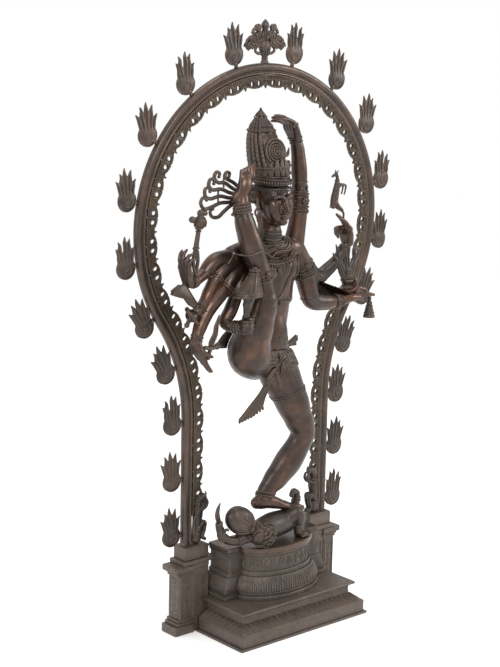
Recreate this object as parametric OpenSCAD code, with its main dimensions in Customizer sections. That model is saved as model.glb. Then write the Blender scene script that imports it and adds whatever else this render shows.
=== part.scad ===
// Bronze dancing figure in the nataraja pose, inside a lift-off arch of flames, on a stepped base.
// Millimetres, +Z up. The figure faces -Y. The origin is the middle of the base's underside.

/* [Base] */
// Width of the lower plinth over its flange
plinth_w = 416; // [404:2:424]
// Depth of the whole base, from the plinth's front edge to the back of the piers
base_d = 228; // [222:2:240]
// Height of the lower plinth's upright edge
tier_1_h = 35; // [25:1:40]
// Height of the upper plinth's foot above the floor
tier_2_foot = 52; // [46:1:56]
// Height of the upper plinth's top plate above the floor
tier_2_z = 82; // [78:1:86]
// Width over both piers
piers_w = 544; // [536:2:552]
// Height of the piers above the floor
pier_h = 173; // [165:1:180]
// Height of the arch's foot blocks above the floor
foot_block_z = 217; // [212:1:222]
// Height of the drum's top above the floor
drum_z = 210; // [206:1:214]

/* [Arch] */
// Radius of the arch's outer edge around the figure
arch_r = 380; // [378:1:384]
// Height of that circle's centre above the floor
arch_z = 985; // [982:1:990]
// Angle below the horizontal where the circle ends
arch_drop = 35; // [34:0.5:36]
// Radius of the reverse curve above each leg
reverse_r = 420; // [410:1:430]
// Width of the rim moulding
rim_w = 27; // [25:1:30]
// Thickness of the rim moulding
rim_t = 20; // [16:1:22]
// Width of the pierced frieze inside the rim
frieze_w = 31; // [28:1:34]
// Thickness of the frieze
frieze_t = 8; // [5:1:9]
// Pairs of drop-shaped holes in each half of the frieze
frieze_pairs = 19; // [16:1:20]
// Height of a flame's tallest tongue above its bowl's centre
flame_h = 78; // [60:1:84]
// Radius of a flame's bowl
flame_r = 29; // [24:1:31]
// Distance between the two holes of a pair
hole_gap = 22; // [18:1:24]
// Depth of the tenon under each leg
tenon_h = 40; // [20:1:42]
// Gap around a tenon in its socket, and under the legs
tenon_gap = 0.3; // [0.2:0.1:0.6]

/* [Figure] */
// Sides of the rounded forms
bead_fn = 10; // [8:2:12]

/* [Hidden] */
$fn = 48;
pier_t = 56;
front_y = pier_t / 2 - base_d;
arch_y = base_d / 2 - pier_t / 2;
pier_x = 213;
shaft_x = 255;
wall_x = 166;
skin = 0.01;
flames = 10;
dark = "#4b3528";
worn = "#6b4a33";
dusty = "#6e6258";

// The outer edge runs from the top: circle, reverse curve, upright leg.
arc_1 = arch_r * (90 + arch_drop) * PI / 180;
reverse_x = (arch_r + reverse_r) * cos(arch_drop);
reverse_z = arch_z - (arch_r + reverse_r) * sin(arch_drop);
leg_x = reverse_x - reverse_r;
arc_2 = reverse_r * arch_drop * PI / 180;
leg_foot = foot_block_z + tenon_gap;

// Angle of the outward normal at distance s from the top along the outer edge
function arch_angle(s) =
    s < arc_1 ? 90 - s / arch_r * 180 / PI
    : s < arc_1 + arc_2 ? (s - arc_1) / reverse_r * 180 / PI - arch_drop
    : 0;
// Point [x, z] at distance s along the right half's outer edge, moved inwards by u
function arch_point(s, u = 0) =
    s < arc_1 ? [0, arch_z] + (arch_r - u) * [cos(arch_angle(s)), sin(arch_angle(s))]
    : s < arc_1 + arc_2
        ? [reverse_x, reverse_z] - (reverse_r + u) * [cos(arch_angle(s)), sin(arch_angle(s))]
    : [leg_x - u, reverse_z - (s - arc_1 - arc_2)];
// The frieze's middle line is shorter than the edge on the circle and longer beyond it.
frieze_u = rim_w + frieze_w / 2;
frieze_foot = 300;
mid_1 = arc_1 * (arch_r - frieze_u) / arch_r;
mid_2 = arc_2 * (reverse_r + frieze_u) / reverse_r;
frieze_len = mid_1 + mid_2 + reverse_z - frieze_foot;
function edge_length(m) =
    m < mid_1 ? m * arch_r / (arch_r - frieze_u)
    : m < mid_1 + mid_2 ? arc_1 + (m - mid_1) * reverse_r / (reverse_r + frieze_u)
    : arc_1 + arc_2 + m - mid_1 - mid_2;
function frieze_point(m, u) =
    let (p = arch_point(edge_length(abs(m)), u)) [m < 0 ? -p[0] : p[0], p[1]];

// Joints and centres of the figure, measured from the arch's middle plane
pelvis = [-12, -50, 665];
waist = [-15, -52, 735];
ribs = [-14, -50, 800];
chest = [-13, -48, 865];
neck = [-25, -55, 968];
head_centre = [-26, -70, 1045];
shoulder_l = [62, -48, 928];
shoulder_r = [-88, -46, 928];
hip_l = [8, -56, 640];
knee_l = [70, -90, 475];
ankle_l = [-28, -60, 315];
hip_r = [-70, -66, 672];
knee_r = [-80, -112, 818];
ankle_r = [-135, -88, 1060];
crown_foot = [-28, -64, 1100];
crown_top = [-42, -42, 1212];
fan_tips = [[-220, -52, 890], [-196, -60, 868], [-168, -68, 846], [-142, -75, 828]];

left_flames = [for (i = [1:flames]) str("flame_left_", i)];
right_flames = [for (i = [1:flames]) str("flame_right_", i)];

// ---- shared shapes ----

module at_arch() {
    translate([0, arch_y, 0]) children();
}

module bead(p, r) {
    translate(p) scale(is_num(r) ? [r, r, r] : r) sphere(1, $fn = bead_fn);
}

// A limb: neighbouring beads joined by skins
module limb(points, radii) {
    for (i = [0:len(points) - 2])
        hull() {
            bead(points[i], radii[i]);
            bead(points[i + 1], radii[i + 1]);
        }
}

module below(z) {
    translate([-500, -500, z - 500]) cube([1000, 1000, 500]);
}

module box(x0, x1, y0, y1, z0, z1) {
    translate([x0, y0, z0]) cube([x1 - x0, y1 - y0, z1 - z0]);
}

// ---- base ----

// The plinths reach back between the piers under the drum.
module plinth_step(half_w, front, z0, z1) {
    box(-half_w, half_w, front, -pier_t / 2, z0, z1);
    box(-wall_x, wall_x, -pier_t / 2, pier_t / 2, z0, z1);
}

module plinth_lower() color(dusty) at_arch() union() {
    edge_w = plinth_w / 2 - 8;
    plinth_step(plinth_w / 2, front_y, 0, 6);
    plinth_step(edge_w, front_y + 5, 6, tier_1_h);
    hull() {
        box(-edge_w, edge_w, front_y + 5, -pier_t / 2, tier_1_h, tier_1_h + skin);
        box(-edge_w + 26, edge_w - 26, front_y + 35, -pier_t / 2, tier_2_foot - skin, tier_2_foot);
    }
    box(-wall_x, wall_x, -pier_t / 2, pier_t / 2, tier_1_h, tier_2_foot);
}

module plinth_upper() color(dusty) at_arch() {
    half_w = plinth_w / 2 - 34;
    plinth_step(half_w, front_y + 35, tier_2_foot, tier_2_z - 6);
    plinth_step(half_w + 12, front_y + 23, tier_2_z - 6, tier_2_z);
}

// Pilaster with a moulded foot and cap, and the lower wall beside it
module pier(side) color(dusty) at_arch() mirror([side < 0 ? 1 : 0, 0, 0]) {
    outer = piers_w / 2;
    back = pier_t / 2;
    difference() {
        union() {
            box(wall_x, pier_x + 2, -22, 22, 0, pier_h);
            box(pier_x, outer, -back, back, 0, 22);
            box(pier_x, outer - 8, -back + 3, back - 3, 22, 37);
            box(pier_x + 3, shaft_x, -22, 22, 37, 145);
            box(pier_x, outer - 9, -back + 4, back - 4, 145, 158);
            box(pier_x, outer, -back, back, 158, pier_h);
        }
        box(plinth_w / 2 - 60, plinth_w / 2, -60, -pier_t / 2, 0, tier_2_z);
    }
}

// Two-step block with the socket for a leg's tenon
module foot_block(side) color(dusty) at_arch() mirror([side < 0 ? 1 : 0, 0, 0]) {
    tenon_x = leg_x - rim_w / 2;
    gap_x = 6 + tenon_gap;
    gap_y = 4.5 + tenon_gap;
    difference() {
        union() {
            box(150, 249, -27, 27, pier_h, pier_h + 11);
            box(168, 240, -22, 22, pier_h + 11, foot_block_z);
        }
        box(tenon_x - gap_x, tenon_x + gap_x, -gap_y, gap_y, foot_block_z - tenon_h - 1, foot_block_z + 1);
    }
}

// Plan of the drum: square at the back, half an ellipse at the front
module drum_plan(half_w, y_front, bulge_w, bulge_d) {
    steps = 24;
    polygon(concat(
        [[-half_w, 0], [-half_w, y_front]],
        [for (i = [0:steps]) let (a = 180 + 180 * i / steps)
            [bulge_w * cos(a), y_front + bulge_d * sin(a)]],
        [[half_w, y_front], [half_w, 0]]));
}

// Sloping layer: the square back and the round front are skinned apart, as the plan has inward corners
module drum_layer(z0, z1, grow0, grow1) {
    for (front = [0, 1])
        hull() {
            translate([0, 0, z0]) linear_extrude(skin) drum_half(grow0, front);
            translate([0, 0, z1 - skin]) linear_extrude(skin) drum_half(grow1, front);
        }
}

module drum_half(grow, front) {
    y_front = -74 - grow / 2;
    if (front == 1)
        translate([0, y_front]) scale([1, (64 + grow / 2) / (108 + grow)])
            intersection() {
                circle(108 + grow, $fn = 48);
                translate([-300, -300]) square([600, 300]);
            }
    else
        translate([-148 - grow, y_front]) square([2 * (148 + grow), -y_front]);
}

module drum_step(z0, z1, grow) {
    translate([0, 0, z0]) linear_extrude(z1 - z0)
        drum_plan(148 + grow, -74 - grow / 2, 108 + grow, 64 + grow / 2);
}

module drum_body() color(dusty) at_arch() union() {
    drum_step(tier_2_z, 92, 17);
    drum_step(92, 98, 12);
    drum_layer(98, 112, 13, 14);
    drum_layer(112, 136, 14, 4);
    drum_step(136, 147, 0);
    drum_step(147, 193, -5);
}

module drum_top() color(dark) at_arch() {
    drum_step(193, 199, -1);
    drum_step(199, drum_z, 2);
}

// ---- dwarf ----

dwarf_head_c = [-78, -112, 244];

module dwarf_limbs() {
    limb([[-78, -92, 250], [-30, -84, 246], [28, -74, 248]], [[34, 32, 34], [42, 34, 32], [36, 34, 34]]);
    limb([[20, -84, 250], [56, -96, 258], [34, -106, 224], [4, -112, 218]], [24, 19, 12, 9]);
    limb([[30, -62, 246], [84, -58, 250], [92, -56, 288], [68, -62, 300]], [24, 18, 11, 9]);
    limb([[-92, -88, 250], [-140, -100, 252], [-172, -98, 258], [-196, -90, 276], [-200, -88, 296]],
        [18, 13, 11, 9, 5]);
    limb([[-184, -80, 272], [-188, -78, 304], [-180, -76, 332]], [[8, 5, 8], [9, 5, 9], [3, 3, 3]]);
}

module dwarf_body() color(dark) at_arch() difference() {
    dwarf_limbs();
    below(drum_z);
    standing_leg_form();
    dwarf_shield_form();
    dwarf_head_form();
}

module dwarf_head_form() {
    limb([dwarf_head_c + [0, 8, 0], dwarf_head_c + [6, -6, -2]], [[34, 30, 34], [33, 22, 32]]);
}

module dwarf_head() color(dark) at_arch() difference() {
    union() {
        dwarf_head_form();
        limb([dwarf_head_c, dwarf_head_c + [-28, -8, 2]], [22, 14]);
    }
    below(drum_z);
    dwarf_shield_form();
}

module dwarf_shield_form() {
    limb([[-136, -90, 292], [-128, -92, 284], [-112, -96, 270]], [[33, 28, 33], [36, 30, 33], [24, 22, 22]]);
}

module dwarf_shield() color(dark) at_arch() dwarf_shield_form();

// ---- figure ----

module torso_form() {
    limb([pelvis, waist, ribs, chest], [[64, 46, 46], [50, 36, 34], [58, 40, 38], [78, 46, 46]]);
    hull() {
        bead(chest, [78, 46, 40]);
        bead(shoulder_l, [28, 28, 26]);
        bead(shoulder_r, [28, 28, 26]);
    }
    hull() {
        bead([-16, -48, 925], [60, 30, 22]);
        bead(neck - [0, 0, 14], [28, 26, 12]);
    }
    limb([neck - [0, 0, 20], neck + [0, -6, 22]], [[26, 26, 20], [25, 26, 18]]);
}

module torso() color(worn) at_arch() difference() {
    torso_form();
    leg_forms();
}

module standing_leg_form() {
    limb([hip_l, [40, -76, 560], knee_l, [22, -75, 388], ankle_l], [[54, 46, 50], 42, 31, 33, 20]);
    limb([ankle_l + [-16, 4, -14], ankle_l + [10, -6, -14], [30, -70, 290], [66, -76, 277]],
        [17, 18, [16, 20, 11], [13, 20, 7]]);
}

module raised_leg_form() {
    limb([hip_r, [-96, -76, 690], [-88, -96, 748], knee_r], [56, [54, 52, 58], [42, 40, 44], 27]);
    limb([knee_r, [-99, -106, 900], [-128, -96, 990], [-137, -91, 1030], ankle_r], [27, 23, 25, 20, 15]);
    limb([ankle_r, [-130, -88, 1085], [-122, -84, 1112], [-120, -80, 1134]],
        [16, [22, 16, 20], [22, 14, 18], [18, 10, 10]]);
}

module leg_forms() {
    standing_leg_form();
    raised_leg_form();
}

module standing_leg() color(worn) at_arch() difference() {
    standing_leg_form();
    raised_leg_form();
}

module raised_leg() color(worn) at_arch() union() {
    raised_leg_form();
}

module head_form() {
    hull() {
        bead(head_centre + [0, 6, 8], [43, 48, 52]);
        bead(head_centre + [0, -12, -38], [26, 30, 22]);
    }
}

module head() color(worn) at_arch() difference() {
    head_form();
    torso_form();
    leg_forms();
}

module crown_form() {
    limb([crown_foot, [-40, -56, 1140], [-44, -48, 1185], crown_top, [-43, -38, 1243], [-40, -36, 1264]],
        [[44, 46, 14], [42, 41, 20], [39, 38, 24], [30, 30, 18], [10, 10, 8], [3, 3, 4]]);
    limb([[-16, -70, 1160], [12, -66, 1150], [22, -64, 1172]], [8, 6, 2]);
}

module crown() color(dark) at_arch() difference() {
    crown_form();
    head_form();
    leg_forms();
}

// Curling strands that fly from the side of the head
module hair_locks() color(dark) at_arch() difference() {
    root = [-120, -52, 1058];
    union() {
        limb([[-60, -52, 1050], root], [[14, 12, 22], [7, 7, 16]]);
        for (i = [0:3]) {
            rise = 14 - 17 * i;
            tip = [-206 - 16 * i + 3 * i * i, -56, 1106 - 20 * i];
            limb([root + [0, 0, 8 - 5 * i], [-168, -54, 1062 + rise], tip - [10, 0, 14], tip + [-8, 0, 10], tip + [10, 0, 12]],
                [4, 4, 4, 4, 4.5]);
        }
    }
    head_form();
    crown_form();
    leg_forms();
}

module waist_cloth() color(dark) at_arch() difference() {
    union() {
        hull() {
            bead(pelvis + [2, 0, 8], [72, 54, 20]);
            bead(pelvis + [6, -2, -22], [70, 56, 16]);
        }
        limb([pelvis + [50, 4, 26], pelvis + [96, 4, 38]], [10, [12, 7, 12]]);
        limb([pelvis + [0, -44, 0], pelvis + [-28, -44, -34]], [16, 16]);
    }
    torso_form();
    leg_forms();
}

module sash_tail_form() {
    limb([[-44, -92, 628], [-60, -92, 596], [-78, -84, 566], [-88, -80, 546]],
        [[17, 10, 12], [15, 9, 12], [26, 9, 14], [34, 8, 9]]);
}

module sash_tail() color(dark) at_arch() difference() {
    sash_tail_form();
    leg_forms();
    hull() {
        bead(pelvis + [2, 0, 8], [72, 54, 20]);
        bead(pelvis + [6, -2, -22], [70, 56, 16]);
    }
    limb([pelvis + [0, -44, 0], pelvis + [-28, -44, -34]], [16, 16]);
    torso_form();
}

// ---- left arms, on the side of the bell ----

module arm_raised_form() {
    limb([shoulder_l, [72, -50, 985], [76, -50, 1100], [70, -50, 1150], [57, -50, 1193]], [25, 21, 19.5, 17, 13]);
    limb([[57, -50, 1193], [36, -50, 1230], [20, -50, 1245], [-26, -50, 1260]], [[13, 10, 13], [14, 10, 12], [9, 9, 8], 4]);
}

module arm_bell_form() {
    limb([shoulder_l + [8, 4, -4], [98, -52, 862], [110, -60, 802], [160, -62, 784], [212, -60, 779]],
        [28, 27, 24, 20, 15]);
    limb([[212, -60, 779], [252, -60, 784], [290, -60, 790], [322, -60, 792]], [15, [16, 13, 14], [13, 10, 10], [9, 7, 6]]);
}

module arm_deer_form() {
    limb([shoulder_l + [10, 10, -10], [120, -36, 868], [156, -34, 836], [217, -45, 880], [250, -45, 926]],
        [26, 24, 21, 13, 12]);
    limb([[250, -45, 926], [240, -45, 956], [198, -45, 1004]], [[13, 10, 13], [10, 7, 10], [5, 5, 6]]);
}

module arm_fire_form() {
    limb([[140, -38, 806], [188, -38, 802], [228, -47, 799], [243, -55, 814]], [16, 14, 11, 12]);
}

module arm_raised() color(worn) at_arch() difference() {
    arm_raised_form();
    torso_form();
    crown_form();
}

module arm_bell() color(worn) at_arch() difference() {
    arm_bell_form();
    torso_form();
    arm_raised_form();
}

module arm_deer() color(worn) at_arch() difference() {
    arm_deer_form();
    torso_form();
    arm_raised_form();
    arm_bell_form();
}

module arm_fire() color(worn) at_arch() difference() {
    arm_fire_form();
    arm_bell_form();
    arm_deer_form();
}

module deer() color(dark) at_arch() difference() {
    union() {
        limb([[190, -45, 1014], [198, -45, 1040], [204, -45, 1066], [203, -45, 1088], [190, -45, 1098]],
            [[9, 6, 8], [13, 8, 14], [11, 7, 10], [5, 4, 6], [5, 4, 4]]);
        limb([[206, -45, 1060], [228, -45, 1062], [224, -45, 1040]], [4, 4, 3]);
        limb([[200, -45, 1020], [222, -45, 1002], [232, -45, 968]], [6, 4.5, 4]);
    }
    arm_deer_form();
}

module fire_bowl() color(dark) at_arch() difference() {
    for (i = [-2:2])
        limb([[240, -55, 830], [238 + 9 * i, -55, 868], [226 + 12 * i, -55, 926 - 10 * abs(i)]],
            [[14, 10, 14], [8, 7, 10], [2.5, 2.5, 4]]);
    arm_fire_form();
    arm_bell_form();
    arm_deer_form();
}

// Bell under the fingers, hollow below
module hand_bell() color(dark) at_arch() translate([318, -60, 0]) {
    rotate_extrude() polygon([[0, 785], [4, 785], [5, 764], [8, 752], [14, 732], [15, 726],
        [12, 726], [10, 736], [5, 750], [0, 752]]);
}

// ---- right arms, fused into a fan below the shoulder ----

module fan_form() {
    limb([shoulder_r, [-120, -45, 940]], [28, 20]);
    for (i = [0:2])
        hull() {
            bead(shoulder_r + [-4, 0, 0], [30, 26, 26]);
            bead([-168, -50, 908], [26, 16, 24]);
            bead(fan_tips[i], 16);
            bead(fan_tips[i + 1], 16);
        }
}

module shoulder_fan() color(worn) at_arch() difference() {
    fan_form();
    torso_form();
    leg_forms();
}

module arm_club_form() {
    limb([fan_tips[0], [-262, -70, 878], [-300, -80, 884], [-302, -80, 910], [-290, -76, 946]],
        [15, 12, 11, [12, 11, 14], 7]);
}

module arm_axe_form() {
    limb([fan_tips[1], [-232, -70, 826], [-272, -80, 800], [-292, -82, 802]], [16, 14, 15, [10, 14, 14]]);
}

module arm_dagger_form() {
    limb([fan_tips[2] + [-14, 2, 4], [-218, -72, 818], [-246, -76, 778], [-266, -83, 738], [-262, -88, 716], [-246, -90, 696]],
        [17, 18, 18, 14, [13, 12, 12], [10, 8, 10]]);
}

module arm_drum_form() {
    limb([fan_tips[3], [-176, -78, 777], [-168, -104, 768], [-153, -129, 771]], [16.5, 15.5, 14, [17, 15, 17]]);
}

module arm_club() color(worn) at_arch() difference() {
    arm_club_form();
    fan_form();
    union() { torso_form(); arm_axe_form(); }
}

module arm_axe() color(worn) at_arch() difference() {
    arm_axe_form();
    fan_form();
    arm_dagger_form();
}

module arm_dagger() color(worn) at_arch() difference() {
    arm_dagger_form();
    fan_form();
    arm_drum_form();
}

module arm_drum() color(worn) at_arch() difference() {
    arm_drum_form();
    fan_form();
    leg_forms();
    torso_form();
}

module club_form() {
    limb([[-263, -74, 900], [-262, -72, 944], [-249, -70, 996], [-246, -70, 1022], [-243, -70, 1044]],
        [6, 10, 8, 14, 10]);
    limb([[-246, -70, 1024], [-268, -70, 1024]], [6, 8]);
}

module club() color(dark) at_arch() difference() {
    club_form();
    arm_club_form();
    union() { fan_form(); arm_axe_form(); }
}

module axe_form() {
    translate([0, -76, 0]) rotate([90, 0, 0]) linear_extrude(8)
        polygon([[-338, 858], [-326, 872], [-302, 880], [-292, 868], [-262, 828], [-272, 820], [-284, 828], [-300, 846], [-322, 854]]);
}

module axe() color(dark) at_arch() difference() {
    axe_form();
    arm_club_form();
    arm_axe_form();
    fan_form();
}

module dagger() color(dark) at_arch() difference() {
    limb([[-232, -96, 724], [-226, -100, 752], [-212, -98, 776], [-206, -94, 800]],
        [[7, 5, 7], [9, 5, 9], [8, 4, 8], [2.5, 2.5, 2.5]]);
    limb([[-250, -98, 730], [-214, -98, 726]], [6, 6]);
    arm_dagger_form();
    arm_drum_form();
    fan_form();
}

module hand_drum_form() {
    hull() {
        translate([-148, -128, 842]) scale([1.5, 1, 1]) cylinder(h = 4, r = 27, $fn = 24);
        bead([-126, -124, 898], [16, 14, 8]);
    }
    limb([[-152, -128, 780], [-152, -128, 845]], [11, 14]);
}

module hand_drum() color(dark) at_arch() difference() {
    hand_drum_form();
    arm_drum_form();
    leg_forms();
    fan_form();
    torso_form();
}

// ---- arch ----

// Section of the rim: distance in from the outer edge, and half thickness as a share of rim_t
rim_side = [[0, 0.25], [4, 0.46], [10, 0.5], [17, 0.4], [20, 0.25], [rim_w, 0.38]];
rim_section = concat(
    [for (p = rim_side) [p[0], p[1] * rim_t]],
    [for (k = [len(rim_side) - 1:-1:0]) [rim_side[k][0], -rim_side[k][1] * rim_t]]);

// One closed skin swept along the outer edge from the left leg's foot to the right leg's
module rim_sweep() {
    n = len(rim_section);
    circle_steps = 21;
    reverse_steps = 6;
    half = concat(
        [for (k = [0:circle_steps - 1]) arc_1 * k / circle_steps],
        [for (k = [0:reverse_steps - 1]) arc_1 + arc_2 * k / reverse_steps],
        [arc_1 + arc_2, arc_1 + arc_2 + reverse_z - leg_foot]);
    rows = concat(
        [for (k = [len(half) - 1:-1:1]) -half[k]],
        half);
    last = len(rows) - 1;
    polyhedron(
        [for (s = rows) for (p = rim_section)
            let (q = arch_point(abs(s), p[0])) [s < 0 ? -q[0] : q[0], p[1], q[1]]],
        concat(
            [[for (i = [n - 1:-1:0]) i]],
            [for (r = [0:last - 1]) for (i = [0:n - 1])
                let (j = (i + 1) % n) each [
                    [r * n + i, (r + 1) * n + j, (r + 1) * n + i],
                    [r * n + i, r * n + j, (r + 1) * n + j]]],
            [[for (i = [0:n - 1]) last * n + i]]));
}

module arch_rim() color(dark) at_arch() {
    rim_sweep();
    for (side = [-1, 1])
        translate([side * (leg_x - rim_w / 2) - 6, -4.5, foot_block_z - tenon_h])
            cube([12, 9, tenon_h + 20]);
}

// Pierced band: drop-shaped holes in pairs, each pair in its own lobe of the inner edge
module arch_frieze() color(worn) at_arch() {
    lobe = frieze_len / (2 * frieze_pairs);
    u_mid = rim_w + frieze_w * 0.62;
    outer = [for (k = [-60:60]) frieze_point(k * frieze_len / 60, rim_w + 0.6)];
    lobe_steps = 4;
    n_inner = 2 * frieze_pairs * lobe_steps;
    inner = [for (k = [n_inner:-1:-n_inner])
        frieze_point(k * lobe / lobe_steps, rim_w + frieze_w - 5 + 5 * abs(sin(90 * k / lobe_steps)))];
    holes = [for (side = [-1, 1]) for (k = [0:2 * frieze_pairs - 1])
        let (pair = (2 * floor(k / 2) + 1) * lobe, m = pair + (k % 2 == 0 ? -hole_gap : hole_gap) / 2)
        [for (a = [0:60:300])
            frieze_point(side * (m + 5 * sin(a)), u_mid + (a == 180 ? 9 : 6.5) * cos(a))]];
    rim_count = len(outer) + len(inner);
    translate([0, -1, 0]) rotate([90, 0, 0]) linear_extrude(frieze_t)
        polygon(
            concat(outer, inner, [for (h = holes) each h]),
            concat([[for (i = [0:rim_count - 1]) i]],
                [for (h = [0:len(holes) - 1]) [for (i = [0:5]) rim_count + 6 * h + i]]));
}

// Scrolled knot of leaves on the arch's top
module finial() color(dark) at_arch() difference() {
    top = arch_z + arch_r;
    union() {
        limb([[0, -4, top], [0, -2, top + 24], [0, 0, top + 44]], [[12, 9, 8], [9, 9, 12], [16, 11, 14]]);
        for (side = [-1, 1]) {
            limb([[0, 0, top + 48], [28 * side, 0, top + 58], [44 * side, 0, top + 42]],
                [[18, 12, 20], [22, 13, 22], [17, 11, 20]]);
            limb([[14 * side, 0, top + 84], [30 * side, 0, top + 76]], [[14, 10, 14], [12, 10, 12]]);
            limb([[8 * side, 0, top + 22], [30 * side, 0, top + 26]], [6, 6]);
        }
        limb([[0, 0, top + 60], [0, 0, top + 91]], [18, [14, 10, 14]]);
    }
    below(top);
}

// Rearing lion-like beast at the inner side of each leg
module yali(side) color(dark) at_arch() mirror([side < 0 ? 1 : 0, 0, 0]) {
    x = leg_x - rim_w;
    difference() {
        union() {
            limb([[x - 16, -4, 232], [x - 16, -6, 264], [x - 18, -6, 298], [x - 14, -4, 326]],
                [[15, 12, 14], [12, 12, 18], [15, 13, 18], [10, 10, 12]]);
            limb([[x - 14, -4, 326], [x - 30, -6, 336]], [[12, 11, 12], [9, 9, 8]]);
            limb([[x - 24, -6, 300], [x - 42, -8, 312], [x - 40, -8, 332]], [7, 5, 4]);
            limb([[x - 16, -6, 262], [x - 38, -8, 272], [x - 30, -8, 236]], [10, 8, 6]);
            limb([[x - 30, -8, 236], [x - 36, -8, 226]], [6, 6]);
        }
        below(leg_foot);
        box(x, x + 60, -60, 60, 200, 400);
        box(x - 60, x + 60, -1 - frieze_t, -1, frieze_foot, 400);
    }
}

// Flame: a bowl on a short lug against the rim, with five tongues of different heights
module flame(i, side) color(dark) at_arch() mirror([side < 0 ? 1 : 0, 0, 0]) {
    k = i - 1;
    s = 88 + 146 * k - 0.45 * k * k;
    a = arch_angle(s);
    p = arch_point(s, -skin);
    centre = p + (flame_r + 2) * [cos(a), sin(a)];
    lean = i == 6 || i == 7 ? -22 : -6;
    tongues = [[-27, 0.72], [-13, 0.9], [2, 1], [16, 0.86], [30, 0.62]];
    outline = concat(
        [for (b = [180:22.5:360]) flame_r * [cos(b), sin(b)]],
        [for (t = [4:-1:0])
            each [
                t == 4 ? flame_r * [0.98, 0.35] : 0.62 * flame_h * [sin((tongues[t][0] + tongues[t + 1][0]) / 2),
                    cos((tongues[t][0] + tongues[t + 1][0]) / 2)],
                flame_h * tongues[t][1] * [sin(tongues[t][0]), cos(tongues[t][0])]]],
        [flame_r * [-0.98, 0.35]]);
    translate([0, 5, 0]) rotate([90, 0, 0]) linear_extrude(10) {
        translate(centre) rotate(lean) polygon(outline);
        translate(p) rotate(a) translate([0.7, -6]) square([flame_r * 0.6, 12]);
    }
}

plinth_lower();
plinth_upper();
pier(-1);  // pier_left
pier(1);  // pier_right
foot_block(-1);  // foot_block_left
foot_block(1);  // foot_block_right
drum_body();
drum_top();
dwarf_body();
dwarf_head();
dwarf_shield();
torso();
standing_leg();
raised_leg();
head();
crown();
hair_locks();
waist_cloth();
sash_tail();
arm_raised();
arm_deer();
arm_fire();
arm_bell();
deer();
fire_bowl();
hand_bell();
shoulder_fan();
arm_club();
arm_axe();
arm_dagger();
arm_drum();
club();
axe();
dagger();
hand_drum();
arch_rim();
arch_frieze();
finial();
yali(-1);  // yali_left
yali(1);  // yali_right
for (i = [1:flames]) {
    flame(i, -1);
    flame(i, 1);
}
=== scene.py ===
import math
import random

import bmesh
import bpy
import numpy as np
from mathutils import Matrix, Vector
from mathutils.bvhtree import BVHTree


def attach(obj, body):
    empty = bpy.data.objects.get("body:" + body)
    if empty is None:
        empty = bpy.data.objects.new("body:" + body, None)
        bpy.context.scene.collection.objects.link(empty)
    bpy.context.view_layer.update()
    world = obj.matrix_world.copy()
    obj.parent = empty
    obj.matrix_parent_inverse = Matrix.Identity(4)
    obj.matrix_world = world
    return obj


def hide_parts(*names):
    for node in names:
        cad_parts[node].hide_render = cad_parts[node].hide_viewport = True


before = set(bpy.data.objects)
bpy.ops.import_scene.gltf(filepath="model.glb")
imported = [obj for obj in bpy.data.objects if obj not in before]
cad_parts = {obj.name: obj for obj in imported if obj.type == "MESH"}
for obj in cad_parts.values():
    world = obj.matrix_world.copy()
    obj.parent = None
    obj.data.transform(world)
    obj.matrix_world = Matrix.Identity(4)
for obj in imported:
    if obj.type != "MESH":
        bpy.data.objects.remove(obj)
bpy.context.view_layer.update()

# Shapes are given in millimetres from the arch's middle plane, as in the CAD source,
# and become metres in the shared frame when a piece is made.
MM = 0.001
ARCH_Y = 86.0
FLOOR_SIZE = 9.0


def vec(*p):
    return np.array(p, float)


def unit(v):
    v = np.asarray(v, float)
    return v / max(np.linalg.norm(v), 1e-9)


def as3(r):
    return np.full(3, float(r)) if np.isscalar(r) else np.asarray(r, float)


# ---------- mesh helpers ----------

def around(count):
    """Even angles round a circle, the first one at zero."""
    return np.linspace(0, 2 * math.pi, count, endpoint=False)


ICO = {}


def ico(level):
    if level not in ICO:
        bm = bmesh.new()
        bmesh.ops.create_icosphere(bm, subdivisions=level, radius=1)
        ICO[level] = (
            np.array([v.co[:] for v in bm.verts]),
            np.array([[v.index for v in f.verts] for f in bm.faces]),
        )
        bm.free()
    return ICO[level]


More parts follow.
